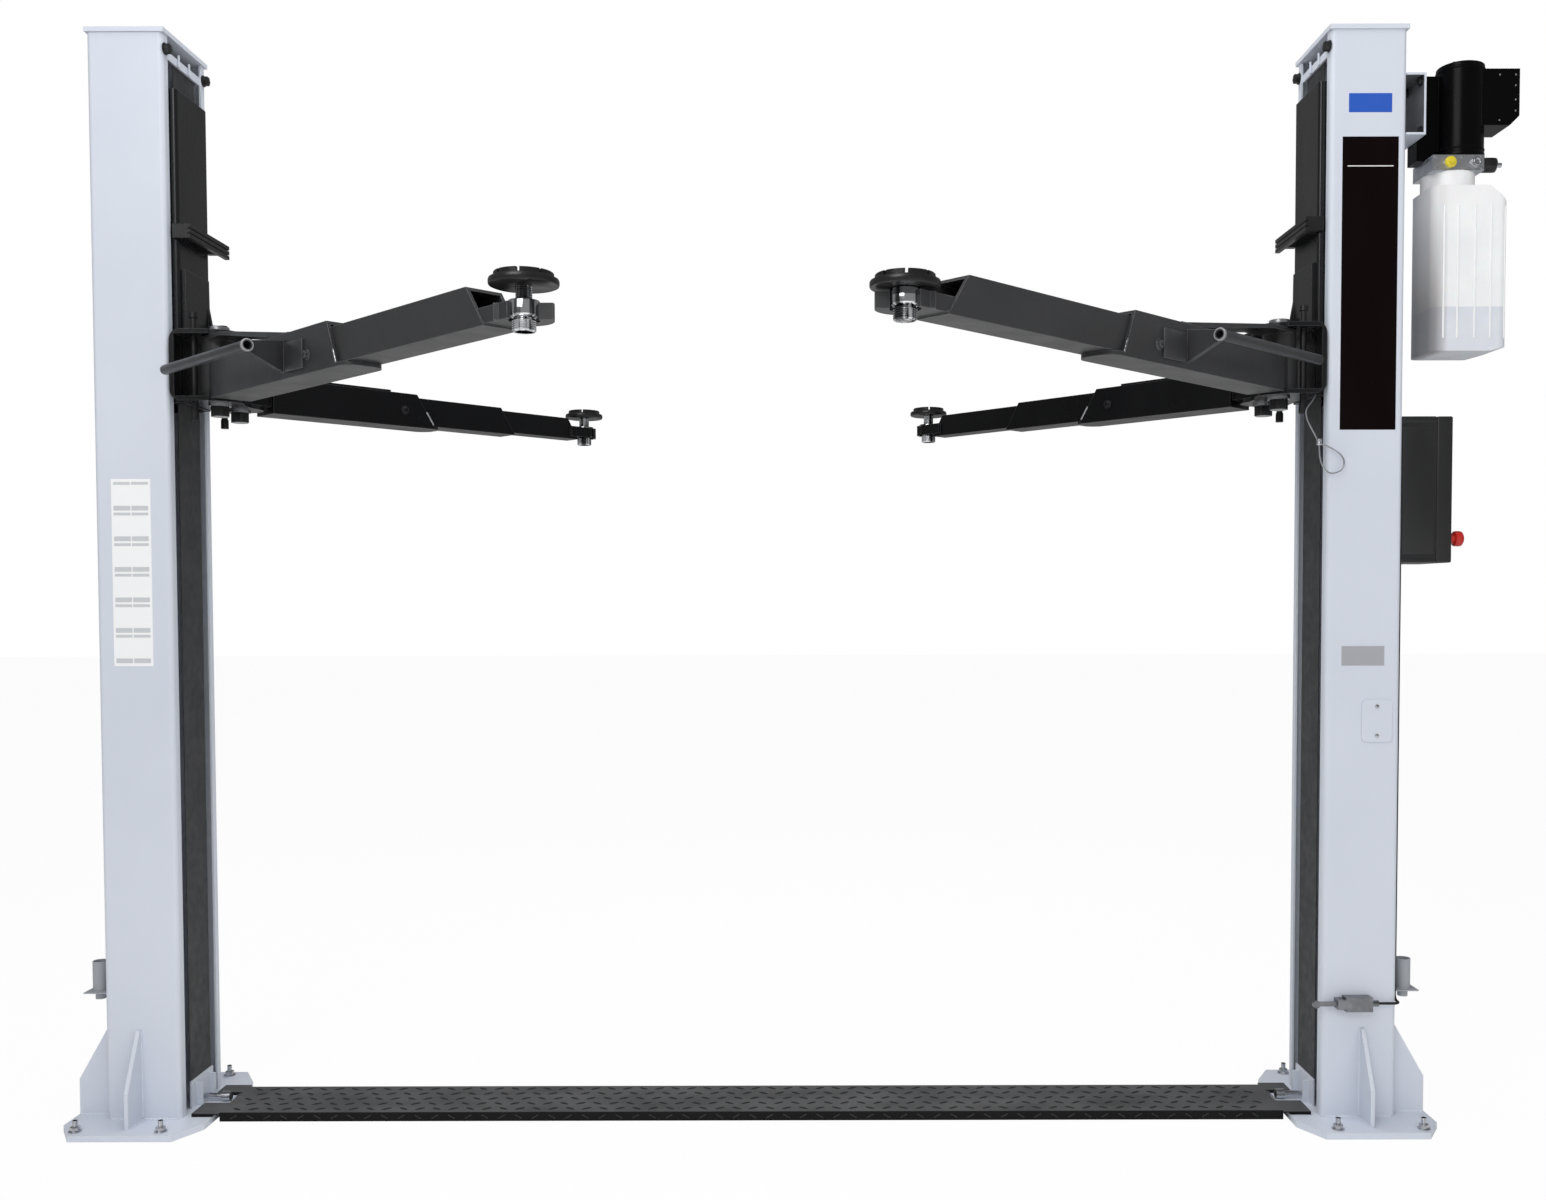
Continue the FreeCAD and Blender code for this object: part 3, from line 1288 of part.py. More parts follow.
def hatch_cover():
    """The small cover plate on the right column's front."""
    left, right = size("hatch_left"), size("hatch_right")
    low, high = size("hatch_low"), size("hatch_high")
    node("hatch_cover", prism("hatch_cover", "XZ", [(left, low), (right, low), (right, high), (left, high)],
                              -half - size("hatch_thick"), -half, [((0, 1, 2, 3), size("hatch_corner"))]))


def build():
    """Makes every piece of the lift."""
    caps, bolts, stiffeners, belts, fixings, cylinders, pipes, racks = ([] for _ in range(8))
    for side_name, side in SIDES.items():
        column(side_name, side)
        base_plate(side_name, side)
        caps.append(top_cap(side_name, side))
        bolts += anchor_bolts(side_name, side)
        bolts += head_bolts(side_name, side)
        stiffeners += gussets(side_name, side)
        belts.append(curtain(side_name, side))
        fixings += curtain_fixings(side_name, side)
        cylinders.append(lift_cylinder(side_name, side))
        pipes.append(foot_fittings(side_name, side))
        racks += adapter_rack(side_name, side)
        carriage(side_name, side)
        arm_bracket(side_name, side)
        door_guard(side_name, side)
        pivot_pins(side_name, side)
        lock_pin(side_name, side, "near", -1)
        lock_pin(side_name, side, "far", 1)
        near_arm(side_name, side)
        far_arm(side_name, side)
        far_middle(side_name, side)
        near_reach = near_extension(side_name, side)
        far_reach = far_extension(side_name, side)
        near_raise = size("pad_raise") if side < 0 else as_formula(0)
        pad_set(side_name, side, "near", -1, near_reach, size("near_pad_radius"), size("near_angle"), near_raise)
        pad_set(side_name, side, "far", 1, far_reach, size("far_pad_radius"), size("far_angle"), size("pad_raise"))
    for name, parts in (("top_caps", caps), ("column_bolts", bolts), ("column_gussets", stiffeners),
                        ("dust_curtains", belts), ("curtain_fixings", fixings), ("lift_cylinders", cylinders),
                        ("foot_pipes", pipes), ("adapter_racks", racks)):
        node(name, group(name, *parts))
    floor_cover()
    power_unit()
    control_box()
    switch_lead(limit_switch())
    hatch_cover()
    lanyard()


def check():
    """Stops if any object failed or any piece isn't a valid solid."""
    for item in document.Objects:
        if any(word in state for state in item.State for word in ("Invalid", "Error")):
            raise RuntimeError(f"{item.Label} failed: {item.State}")
    for item in NODES:
        if item.Shape.isNull() or not item.Shape.isValid() or not item.Shape.Solids:
            raise RuntimeError(f"{item.Label} isn't a valid solid")


build()
document.recompute()
check()
os.makedirs("parts", exist_ok=True)
for item in NODES:
    item.Shape.exportStep(f"parts/{item.Label}.step")
    print(f"{item.Label:28s} solids {len(item.Shape.Solids):2d}  volume {item.Shape.Volume / 1e6:9.3f} litres")
print(len(NODES), "pieces")
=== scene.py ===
"""Looks of the two post car lift: finishes, small fixings, blank decals and the release lanyard."""
import logging
import math
from dataclasses import dataclass
from enum import Enum
from typing import Any, Sequence

import bmesh
import bpy
from mathutils import Matrix, Vector


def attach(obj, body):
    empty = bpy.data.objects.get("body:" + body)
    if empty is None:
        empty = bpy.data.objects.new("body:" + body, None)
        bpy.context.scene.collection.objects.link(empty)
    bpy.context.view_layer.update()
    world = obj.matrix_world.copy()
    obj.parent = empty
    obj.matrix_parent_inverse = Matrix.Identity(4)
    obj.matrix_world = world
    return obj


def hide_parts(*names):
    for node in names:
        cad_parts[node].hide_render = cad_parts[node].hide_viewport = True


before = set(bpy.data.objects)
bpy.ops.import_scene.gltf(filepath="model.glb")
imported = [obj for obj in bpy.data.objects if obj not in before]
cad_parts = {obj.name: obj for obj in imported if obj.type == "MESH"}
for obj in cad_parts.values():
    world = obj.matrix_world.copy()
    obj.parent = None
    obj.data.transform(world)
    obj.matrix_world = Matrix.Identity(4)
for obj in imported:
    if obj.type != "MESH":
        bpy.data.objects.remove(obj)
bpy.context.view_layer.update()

LOG = logging.getLogger("car_lift")
Point = Sequence[float]
Colour = tuple[float, float, float]
Profile = Sequence[tuple[float, float]]

PIVOT_X = 1.380
PIVOT_Y = 0.062
NEAR_ANGLE = 44.5
FAR_ANGLE = 46.5
FOOT_TOP = 0.016
ANCHOR_TOP = FOOT_TOP + 0.0028
HEAD_X = 1.485
HEAD_Y = 0.111
HEAD_Z = 2.774
FACE = -0.125
RIGHT_LIFT = 0.012
UNIT_Y = -0.062
MOTOR_X = 1.842
PUMP_Z = 2.477
PUMP_FRONT = -0.1248
FOOT_BEAD = 0.0034
RIB_BEAD = 0.0030
SCREW_HOLE = 0.0161
BUTTON = (1.812, -0.088, 1.521)
RIGHT_EXTRA = 0.055
REACH = {(-1, -1): 1.402, (1, -1): 1.457, (-1, 1): 1.147, (1, 1): 1.209}
PAD_LOW = 1.936
RAISED = 0.026
PALE = (0.66, 0.70, 0.78)
UP = (0, 0, 1)
AHEAD = (0, -1, 0)


class Side(Enum):
    """The two columns."""

    LEFT = -1
    RIGHT = 1

    @property
    def word(self) -> str:
        """The side's name as it stands in node names."""
        return self.name.lower()


class Value:
    """A shader socket that takes part in Python sums."""

    def __init__(self, tree: bpy.types.NodeTree, socket: bpy.types.NodeSocket) -> None:
        """Wraps one output socket of a node tree."""
        self.tree = tree
        self.socket = socket

    def math(self, operation: str, other: Any) -> "Value":
        """Adds a Math node.

        Args:
            operation: The node's operation.
            other: The second value or number.

        Returns:
            The node's result.
        """
        node = self.tree.nodes.new("ShaderNodeMath")
        node.operation = operation
        for socket, value in zip(node.inputs, (self, other)):
            if isinstance(value, Value):
                self.tree.links.new(value.socket, socket)
            else:
                socket.default_value = float(value)
        return Value(self.tree, node.outputs[0])

    def __add__(self, other: Any) -> "Value":
        """Adds another value."""
        return self.math("ADD", other)

    def __sub__(self, other: Any) -> "Value":
        """Takes another value away."""
        return self.math("SUBTRACT", other)

    def __mul__(self, other: Any) -> "Value":
        """Multiplies by another value."""
        return self.math("MULTIPLY", other)

    def __gt__(self, other: Any) -> "Value":
        """Is 1 where this value is the larger."""
        return self.math("GREATER_THAN", other)

    def __lt__(self, other: Any) -> "Value":
        """Is 1 where this value is the smaller."""
        return self.math("LESS_THAN", other)

    __radd__ = __add__


class Shader:
    """The node tree of one finish."""

    def __init__(self, name: str) -> None:
        """Starts a material with its principled shader."""
        self.material = bpy.data.materials.new(name)
        self.material.use_nodes = True
        self.tree = self.material.node_tree
        self.surface = self.tree.nodes["Principled BSDF"]
        coordinates = self.tree.nodes.new("ShaderNodeTexCoord")
        self.place = Value(self.tree, coordinates.outputs["Object"])

    def node(self, kind: str, settings: dict[str, Any] | None = None, output: int | str = 0,
             **inputs: Any) -> Value:
        """Adds a node.

        Args:
            kind: The node's type without its ShaderNode prefix.
            settings: Properties that are set first.
            output: The output that is returned.
            inputs: Values or links of its sockets, with _ for each space in a name.

        Returns:
            The chosen output.
        """
        node = self.tree.nodes.new("ShaderNode" + kind)
        for name, value in (settings or {}).items():
            setattr(node, name, value)
        for name, value in inputs.items():
            self.feed(node, name.replace("_", " "), value)
        return Value(self.tree, node.outputs[output])

    def feed(self, node: bpy.types.Node, name: str, value: Any) -> None:
        """Sets or links the enabled input of a node that has the given name."""
        socket = next(s for s in node.inputs if s.name == name and s.enabled)
        if isinstance(value, Value):
            self.tree.links.new(value.socket, socket)
        elif isinstance(value, tuple) and len(value) == 3 and socket.type == "RGBA":
            socket.default_value = (*value, 1.0)
        else:
            socket.default_value = value

    def noise(self, scale: float, detail: float = 3.0, stretch: Point = (1, 1, 1)) -> Value:
        """A noise value on object coordinates, stretched along the axes."""
        place = self.place
        if tuple(stretch) != (1, 1, 1):
            place = self.node("Mapping", Vector=self.place, Scale=tuple(stretch))
        return self.node("TexNoise", None, 0, Vector=place, Scale=scale, Detail=detail)

    def ramp(self, value: Value, low: float, high: float, start: float = 0.0, end: float = 1.0) -> Value:
        """Maps a value from one range to another and holds it inside."""
        node = self.tree.nodes.new("ShaderNodeMapRange")
        self.tree.links.new(value.socket, node.inputs["Value"])
        for name, number in (("From Min", low), ("From Max", high), ("To Min", start), ("To Max", end)):
            node.inputs[name].default_value = number
        return Value(self.tree, node.outputs["Result"])

    def mix(self, factor: Any, first: Any, second: Any) -> Value:
        """A colour between two colours."""
        return self.node("Mix", {"data_type": "RGBA"}, 2, Factor=factor, A=first, B=second)

    def axis(self, letter: str) -> Value:
        """One object coordinate."""
        return self.node("SeparateXYZ", None, letter, Vector=self.place)

    def edges(self, radius: float = 0.002) -> Value:
        """A mask that is 1 along the edges and 0 on the faces."""
        soft = self.node("Bevel", {"samples": 4}, 0, Radius=radius)
        plain = self.node("NewGeometry", None, "True Normal")
        dot = self.node("VectorMath", {"operation": "DOT_PRODUCT"}, "Value")
        vector = dot.socket.node
        self.tree.links.new(soft.socket, vector.inputs[0])
        self.tree.links.new(plain.socket, vector.inputs[1])
        return self.ramp(dot, 0.99, 0.80)

    def bump(self, height: Value, strength: float, distance: float, soft_edge: float = 0.0) -> Value:
        """A normal from a height, over rounded edges if asked."""
        inputs = {"Strength": strength, "Distance": distance, "Height": height}
        if soft_edge:
            inputs["Normal"] = self.node("Bevel", {"samples": 4}, 0, Radius=soft_edge)
        return self.node("Bump", None, 0, **inputs)

    def set(self, **inputs: Any) -> bpy.types.Material:
        """Sets or links sockets of the surface and returns the material."""
        for name, value in inputs.items():
            self.feed(self.surface, name.replace("_", " "), value)
        return self.material


@dataclass(frozen=True)
class PowderCoat:
    """Baked paint with a faint orange peel, paler along its edges as a painted highlight."""

    name: str
    colour: Colour
    # The colour of the painted edge highlight, and of the dust specks.
    edge: Colour
    shade: Colour
    roughness: float = 0.4
    peel: float = 0.12
    coat: float = 0.0
    edge_width: float = 0.0022
    gloss: float = 0.5

    def material(self) -> bpy.types.Material:
        """Makes the paint."""
        shader = Shader(self.name)
        cloud = shader.ramp(shader.noise(2.2, 4.0), 0.35, 0.7)
        body = shader.mix(cloud * 0.6, self.colour, self.shade)
        specks = shader.ramp(shader.noise(260.0, 2.0), 0.70, 0.78)
        body = shader.mix(specks * 0.25, body, self.edge)
        # Painted highlight: the edge colour is mixed in along the edges, unevenly along them.
        rim = shader.edges(self.edge_width) * shader.ramp(shader.noise(60.0, 3.0), 0.25, 0.6, 0.45, 1.0)
        colour = shader.mix(rim, body, self.edge)
        peel = shader.noise(420.0, 1.0)
        smear = shader.ramp(shader.noise(9.0, 5.0, (1, 1, 0.35)), 0.3, 0.75,
                            self.roughness - 0.07, self.roughness + 0.09)
        normal = shader.bump(peel, self.peel, 0.0006, self.edge_width * 0.7)
        return shader.set(Base_Color=colour, Roughness=smear, Normal=normal, Coat_Weight=self.coat,
                          Coat_Roughness=0.12, Specular_IOR_Level=self.gloss)


@dataclass(frozen=True)
class Metal:
    """Bare, plated or chromed metal with fine turning or rolling marks, and dark streaks of painted
    reflection where asked.
    """

    name: str
    colour: Colour
    shade: Colour
    roughness: float = 0.3
    lines: float = 900.0
    stretch: tuple[float, float, float] = (1.0, 1.0, 0.02)
    depth: float = 0.05
    streaks: float = 0.0

    def material(self) -> bpy.types.Material:
        """Makes the metal."""
        shader = Shader(self.name)
        cloud = shader.ramp(shader.noise(35.0, 4.0), 0.35, 0.7)
        marks = shader.noise(self.lines, 2.0, self.stretch)
        rough = shader.ramp(shader.noise(90.0, 4.0), 0.3, 0.75, self.roughness * 0.75, self.roughness * 1.35)
        body = shader.mix(cloud, self.colour, self.shade)
        if self.streaks:
            # Painted reflection: dark lengthwise streaks mixed into the colour.
            dark = shader.ramp(shader.noise(85.0, 1.0, (1, 1, 0.04)), 0.46, 0.58)
            body = shader.mix(dark * self.streaks, body, (0.02, 0.02, 0.022))
        return shader.set(Base_Color=body, Roughness=rough, Metallic=1.0,
                          Normal=shader.bump(marks, self.depth, 0.0004, 0.0006))


@dataclass(frozen=True)
class CoverPaint:
    """The floor cover's dark paint, scuffed on top, and darkened down its edges by painted shade."""

    name: str

    def material(self) -> bpy.types.Material:
        """Makes the paint."""
        shader = Shader(self.name)
        cloud = shader.ramp(shader.noise(5.0, 6.0, (1, 2, 1)), 0.3, 0.75)
        scuff = shader.mix(cloud, (0.060, 0.061, 0.063), (0.115, 0.116, 0.119))
        lifted = shader.ramp(shader.axis("Z"), 0.0252, 0.0262)
        scuff = shader.mix(lifted * 0.7, scuff, (0.17, 0.172, 0.176))
        # Painted shade: below the top, the front and sides are near-black, with a little dust.
        top = shader.ramp(shader.axis("Z"), 0.0235, 0.0248)
        dust = shader.ramp(shader.noise(150.0, 3.0), 0.62, 0.74)
        side = shader.mix(dust * 0.15, (0.0022, 0.0022, 0.0026), (0.05, 0.051, 0.054))
        rough = shader.ramp(shader.noise(12.0, 5.0), 0.3, 0.75, 0.34, 0.52)
        normal = shader.bump(shader.noise(240.0, 2.0), 0.2, 0.0005, 0.0014)
        return shader.set(Base_Color=shader.mix(top, side, scuff), Roughness=rough, Normal=normal,
                          Specular_IOR_Level=0.2)


@dataclass(frozen=True)
class ChannelPaint:
    """The motor bracket's pale paint, in shade inside its channel."""

    name: str

    def material(self) -> bpy.types.Material:
        """Makes the paint."""
        shader = Shader(self.name)
        cloud = shader.ramp(shader.noise(6.0, 4.0), 0.35, 0.7)
        pale = shader.mix(cloud, PALE, (0.60, 0.64, 0.73))
        shade = shader.mix(cloud, (0.16, 0.165, 0.175), (0.07, 0.072, 0.078))
        height = shader.axis("Z")
        inside = (shader.axis("X") < 1.7236) * (height > 2.5535) * (height < 2.6985)
        rough = shader.ramp(shader.noise(40.0, 4.0), 0.3, 0.7, 0.34, 0.50)
        normal = shader.bump(shader.noise(420.0, 1.0), 0.10, 0.0006, 0.0015)
        return shader.set(Base_Color=shader.mix(inside, pale, shade), Roughness=rough, Normal=normal)


@dataclass(frozen=True)
class TankPlastic:
    """Milky moulded plastic with the oil showing through its lower part, and painted shade on its side
    towards the column and towards its back.
    """

    name: str
    level: float = 2.110

    def material(self) -> bpy.types.Material:
        """Makes the plastic."""
        shader = Shader(self.name)
        cloud = shader.ramp(shader.noise(9.0, 4.0), 0.35, 0.7)
        clear = shader.mix(cloud, (0.90, 0.90, 0.905), (0.83, 0.83, 0.845))
        line = self.level + (shader.noise(14.0, 2.0) - 0.5) * 0.004
        filled = shader.ramp(line - shader.axis("Z"), -0.0015, 0.0015)
        body = shader.mix(filled, clear, shader.mix(cloud, (0.71, 0.735, 0.79), (0.65, 0.675, 0.735)))
        # Painted shade: the side towards the column turns near-black, more so lower down.
        side = shader.ramp(shader.axis("X"), 1.786, 1.756)
        depth = shader.ramp(shader.axis("Z"), 2.38, 2.10, 0.25, 0.85)
        body = shader.mix(side * depth, body, (0.16, 0.152, 0.155))
        # Painted shade: greyer towards the back.
        painted_back_shade = shader.ramp(shader.axis("Y"), -0.04, 0.01)
        body = shader.mix(painted_back_shade * 0.35, body, (0.55, 0.56, 0.60))
        rough = shader.ramp(shader.noise(40.0, 4.0), 0.3, 0.7, 0.30, 0.46)
        normal = shader.bump(shader.noise(200.0, 2.0), 0.06, 0.0005, 0.002)
        return shader.set(Base_Color=body, Roughness=rough, Normal=normal, Subsurface_Weight=0.12,
                          Subsurface_Scale=0.01)


@dataclass(frozen=True)
class Moulding:
    """Rubber or plastic with fine grain."""

    name: str
    colour: Colour
    shade: Colour
    roughness: float = 0.5
    grain: float = 700.0
    depth: float = 0.15
    scatter: float = 0.0

    def material(self) -> bpy.types.Material:
        """Makes the moulding."""
        shader = Shader(self.name)
        cloud = shader.ramp(shader.noise(14.0, 5.0), 0.35, 0.7)
        colour = shader.mix(cloud, self.colour, self.shade)
        rough = shader.ramp(shader.noise(40.0, 4.0), 0.3, 0.7, self.roughness - 0.08, self.roughness + 0.1)
        normal = shader.bump(shader.noise(self.grain, 2.0), self.depth, 0.0005, 0.0012)
        return shader.set(Base_Color=colour, Roughness=rough, Normal=normal, Subsurface_Weight=self.scatter)


class Finishes:
    """All the finishes, made once."""

    def __init__(self) -> None:
        """Makes every material."""
        made = [
            PowderCoat("column_paint", PALE, (0.86, 0.88, 0.93), (0.60, 0.64, 0.73), 0.42, 0.10),
            PowderCoat("grey_paint", (0.36, 0.38, 0.41), (0.60, 0.62, 0.65), (0.30, 0.32, 0.35), 0.42, 0.10),
            PowderCoat("black_paint", (0.006, 0.0062, 0.007), (0.10, 0.104, 0.112),
                       (0.011, 0.0115, 0.013), 0.26, 0.10, 0.0, 0.0026, 0.42),
            # Near arms: the black paint made paler, as painted sheen.
            PowderCoat("arm_paint", (0.030, 0.0305, 0.032), (0.17, 0.175, 0.185),
                       (0.050, 0.0507, 0.0535), 0.38, 0.12, 0.0, 0.003),
            PowderCoat("box_paint", (0.010, 0.0102, 0.011), (0.05, 0.051, 0.054),
                       (0.021, 0.0215, 0.023), 0.42, 0.35),
            Metal("zinc", (0.66, 0.67, 0.70), (0.50, 0.51, 0.53), 0.30),
            # Chrome, with dark streaks of painted reflection.
            Metal("chrome", (0.92, 0.93, 0.95), (0.78, 0.79, 0.82), 0.10, 1400.0, (0.05, 0.05, 1.0), 0.03,
                  0.92),
            Metal("switch_metal", (0.30, 0.31, 0.33), (0.20, 0.205, 0.22), 0.34, 300.0, (1, 1, 1), 0.15),
            Metal("cast_alloy", (0.74, 0.75, 0.78), (0.60, 0.61, 0.64), 0.36, 300.0, (1, 1, 1), 0.2),
            Moulding("belt", (0.030, 0.031, 0.033), (0.045, 0.046, 0.049), 0.62, 500.0, 0.2),
            Moulding("black_rubber", (0.006, 0.006, 0.0065), (0.014, 0.014, 0.015), 0.33, 500.0, 0.2),
            Moulding("black_plastic", (0.007, 0.007, 0.0075), (0.014, 0.014, 0.015), 0.36),
            Moulding("red_plastic", (0.62, 0.025, 0.015), (0.45, 0.015, 0.012), 0.32),
            Moulding("yellow_plastic", (0.72, 0.60, 0.03), (0.60, 0.48, 0.02), 0.35),
            TankPlastic("tank_plastic"),
            CoverPaint("tread_paint"),
            # Far arms: the black paint made darker, as painted shade.
            PowderCoat("far_paint", (0.0025, 0.0026, 0.0030), (0.07, 0.072, 0.078),
                       (0.006, 0.0062, 0.0072), 0.30, 0.12, 0.0, 0.003, 0.25),
            PowderCoat("motor_paint", (0.0008, 0.0008, 0.0010), (0.02, 0.021, 0.023),
                       (0.003, 0.003, 0.0035), 0.26, 0.2, 0.0, 0.0016, 0.10),
            PowderCoat("mark_paint", (0.020, 0.020, 0.021), (0.05, 0.051, 0.053),
                       (0.035, 0.0355, 0.037), 0.45, 0.2, 0.0, 0.0008, 0.25),
            Moulding("clear_plastic", (0.92, 0.92, 0.93), (0.88, 0.88, 0.89), 0.34, 300.0, 0.05),
            ChannelPaint("bracket_paint"),
            # Handle ring paint: worn grey, with paler edges that are wear and painted highlight together.
            PowderCoat("worn_edge", (0.30, 0.30, 0.31), (0.60, 0.60, 0.61), (0.16, 0.16, 0.165), 0.40, 0.3),
            PowderCoat("blue_vinyl", (0.018, 0.10, 0.52), (0.03, 0.13, 0.58),
                       (0.014, 0.085, 0.46), 0.30, 0.02),
            PowderCoat("dark_vinyl", (0.0035, 0.0010, 0.0014), (0.010, 0.007, 0.008),
                       (0.0045, 0.0016, 0.0020), 0.30, 0.02, 0.0, 0.0008, 0.12),
            PowderCoat("white_vinyl", (0.93, 0.935, 0.94), (0.96, 0.96, 0.965),
                       (0.90, 0.91, 0.92), 0.36, 0.02),
            PowderCoat("grey_vinyl", (0.60, 0.62, 0.64), (0.66, 0.68, 0.70), (0.55, 0.57, 0.60), 0.36, 0.02),
            PowderCoat("plate_metal", (0.40, 0.41, 0.44), (0.52, 0.53, 0.56),
                       (0.34, 0.35, 0.375), 0.34, 0.03),
            Metal("weld_metal", (0.62, 0.63, 0.65), (0.30, 0.30, 0.31), 0.34, 300.0, (1, 1, 1), 0.3),
            Metal("wire", (0.60, 0.61, 0.64), (0.42, 0.43, 0.45), 0.38, 1500.0, (1, 1, 0.4), 0.5),
        ]
        self.made = {finish.name: finish.material() for finish in made}

    def __getitem__(self, name: str) -> bpy.types.Material:
        """One material by its name."""
        return self.made[name]

    def dress(self, node: str, name: str) -> None:
        """Gives a CAD node a finish."""
        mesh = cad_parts[node].data
        mesh.materials.clear()
        mesh.materials.append(self.made[name])


class Sculpture:
    """One mesh piece that is built up in the row's coordinates, or in an arm's own."""

    def __init__(self, name: str, place: Matrix | None = None) -> None:
        """Starts an empty piece.

        Args:
            name: The object's name.
            place: Where the coordinates that follow are measured from.
        """
        self.name = name
        self.place = place or Matrix()
        self.mesh = bmesh.new()

    def keep(self, part: bmesh.types.BMesh, matrix: Matrix) -> None:
        """Moves a finished part to its place and adds it to the piece."""
        bmesh.ops.recalc_face_normals(part, faces=part.faces)
        part.transform(self.place @ matrix)
        data = bpy.data.meshes.new("part")
        part.to_mesh(data)
        part.free()
        self.mesh.from_mesh(data)
        bpy.data.meshes.remove(data)

    def box(self, low: Point, high: Point, bevel: float = 0.0, segments: int = 2,
            turn: Matrix | None = None) -> None:
        """Adds a block with rounded edges.

        Args:
            low: Its lowest corner.
            high: Its highest corner.
            bevel: The radius of its edges.
            segments: The steps of each rounded edge.
            turn: A turn about the block's middle.
        """
        middle = (Vector(low) + Vector(high)) / 2
        part = bmesh.new()
        bmesh.ops.create_cube(part, size=1.0)
        bmesh.ops.scale(part, vec=Vector(high) - Vector(low), verts=part.verts)
        if bevel:
            bmesh.ops.bevel(part, geom=list(part.edges), offset=bevel, affect="EDGES", segments=segments,
                            profile=0.5, material=-1)
        self.keep(part, Matrix.Translation(middle) @ (turn or Matrix()))

    def lathe(self, start: Point, axis: Point, profile: Profile, sides: int = 32) -> None:
        """Spins a profile about an axis.

        Args:
            start: The axis' first point.
            axis: Its direction.
            profile: Pairs of height along the axis and radius.
            sides: The steps around.
        """
        part = bmesh.new()
        verts = [part.verts.new((radius, 0.0, height)) for height, radius in profile]
        edges = [part.edges.new(pair) for pair in zip(verts, verts[1:])]
        bmesh.ops.spin(part, geom=verts + edges, cent=(0, 0, 0), axis=UP, dvec=(0, 0, 0),
                       angle=math.tau, steps=sides, use_merge=True, use_normal_flip=False)
        bmesh.ops.remove_doubles(part, verts=part.verts, dist=1e-6)
        turn = Vector(UP).rotation_difference(Vector(axis).normalized()).to_matrix().to_4x4()
        self.keep(part, Matrix.Translation(Vector(start)) @ turn)

    def sector(self, outline: Profile, start: float, sweep: float, steps: int) -> None:
        """Adds part of a ring about the piece's own Z axis.

        Args:
            outline: Pairs of height and radius, in order around the section.
            start: The angle where it begins.
            sweep: The angle that it covers.
            steps: The steps along it.
        """
        part = bmesh.new()
        section = part.faces.new([part.verts.new((radius, 0.0, height)) for height, radius in outline])
        geom = [section, *section.edges, *section.verts]
        bmesh.ops.spin(part, geom=geom, cent=(0, 0, 0), axis=UP, dvec=(0, 0, 0), angle=sweep,
                       steps=steps, use_merge=False, use_normal_flip=False)
        self.keep(part, Matrix.Rotation(start, 4, "Z"))

    def hexagon(self, start: Point, axis: Point, height: float, across: float, bevel: float = 0.0012) -> None:
        """Adds a nut or a bolt's head: a hexagon with rounded corners at its far end.

        Args:
            start: The middle of the end that it sits on.
            axis: The direction that it stands out in.
            height: How far it stands out.
            across: Half its width across the flats.
            bevel: The radius of its edges.
        """
        part = bmesh.new()
        radius = across / math.cos(math.pi / 6)
        bmesh.ops.create_cone(part, cap_ends=True, segments=6, radius1=radius, radius2=radius, depth=height)
        edges = [edge for edge in part.edges if max(vert.co.z for vert in edge.verts) > 0]
        bmesh.ops.bevel(part, geom=edges, offset=bevel, affect="EDGES", segments=2, profile=0.5, material=-1)
        turn = Vector(UP).rotation_difference(Vector(axis).normalized()).to_matrix().to_4x4()
        lift = Matrix.Translation((0, 0, height / 2))
        self.keep(part, Matrix.Translation(Vector(start)) @ turn @ lift)

    def dome(self, start: Point, axis: Point, radius: float, height: float) -> None:
        """Adds a round head with a domed top."""
        steps = [(0.0, radius), (height * 0.35, radius), (height * 0.75, radius * 0.82),
                 (height * 0.95, radius * 0.45), (height, 0.0)]
        self.lathe(start, axis, steps, 24)

    def bead(self, points: Sequence[Point], radius: float, step: float = 0.004) -> None:
        """Adds a weld bead: a ribbed roll along straight runs.

        Args:
            points: The ends of the runs.
            radius: The bead's radius.
            step: The spacing of its ribs.
        """
        for first, last in zip(points, points[1:]):
            start, run = Vector(first), Vector(last) - Vector(first)
            count = max(2, int(run.length / step))
            profile = [(0.0, 0.0)]
            for index in range(count):
                here = run.length * index / count
                wave = 1.0 + 0.10 * math.sin(index * 2.4)
                profile += [(here + step * 0.25, radius * wave), (here + step * 0.8, radius * wave * 0.86)]
            profile.append((run.length + step * 0.2, 0.0))
            self.lathe(start, run, profile, 10)

    def finish(self, body: str, slot: str, material: bpy.types.Material, smooth: float = 35.0,
               instead_of: str = "") -> bpy.types.Object:
        """Turns the piece into an object that rides on a body.

        Args:
            body: The body that carries it.
            slot: The record's material slot; not used.
            material: Its finish.
            smooth: The angle in degrees above which an edge stays sharp.
            instead_of: A CAD node that the piece stands for.

        Returns:
            The object.
        """
        data = bpy.data.meshes.new(self.name)
        self.mesh.to_mesh(data)
        self.mesh.free()
        data.polygons.foreach_set("use_smooth", [True] * len(data.polygons))
        data.set_sharp_from_angle(angle=math.radians(smooth))
        data.materials.append(material)
        piece = bpy.data.objects.new(self.name, data)
        bpy.context.scene.collection.objects.link(piece)
        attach(piece, body)
        if instead_of:
            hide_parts(instead_of)
        return piece


def thread(low: float, high: float, radius: float, pitch: float = 0.004,
           depth: float = 0.0012) -> list[tuple[float, float]]:
    """A profile with a groove for each turn of a thread."""
    steps = [(low, 0.0), (low, radius - 0.003), (low + 0.003, radius)]
    height = low + 0.003
    while height + pitch < high:
        steps += [(height + pitch * 0.35, radius), (height + pitch * 0.65, radius - depth),
                  (height + pitch, radius)]
        height += pitch
    return steps + [(high, radius), (high, 0.0)]


@dataclass
class Detail:
    """A maker of pieces, with the finishes at hand."""

    finishes: Finishes

    def build(self) -> None:
        """Makes the pieces."""
        raise NotImplementedError


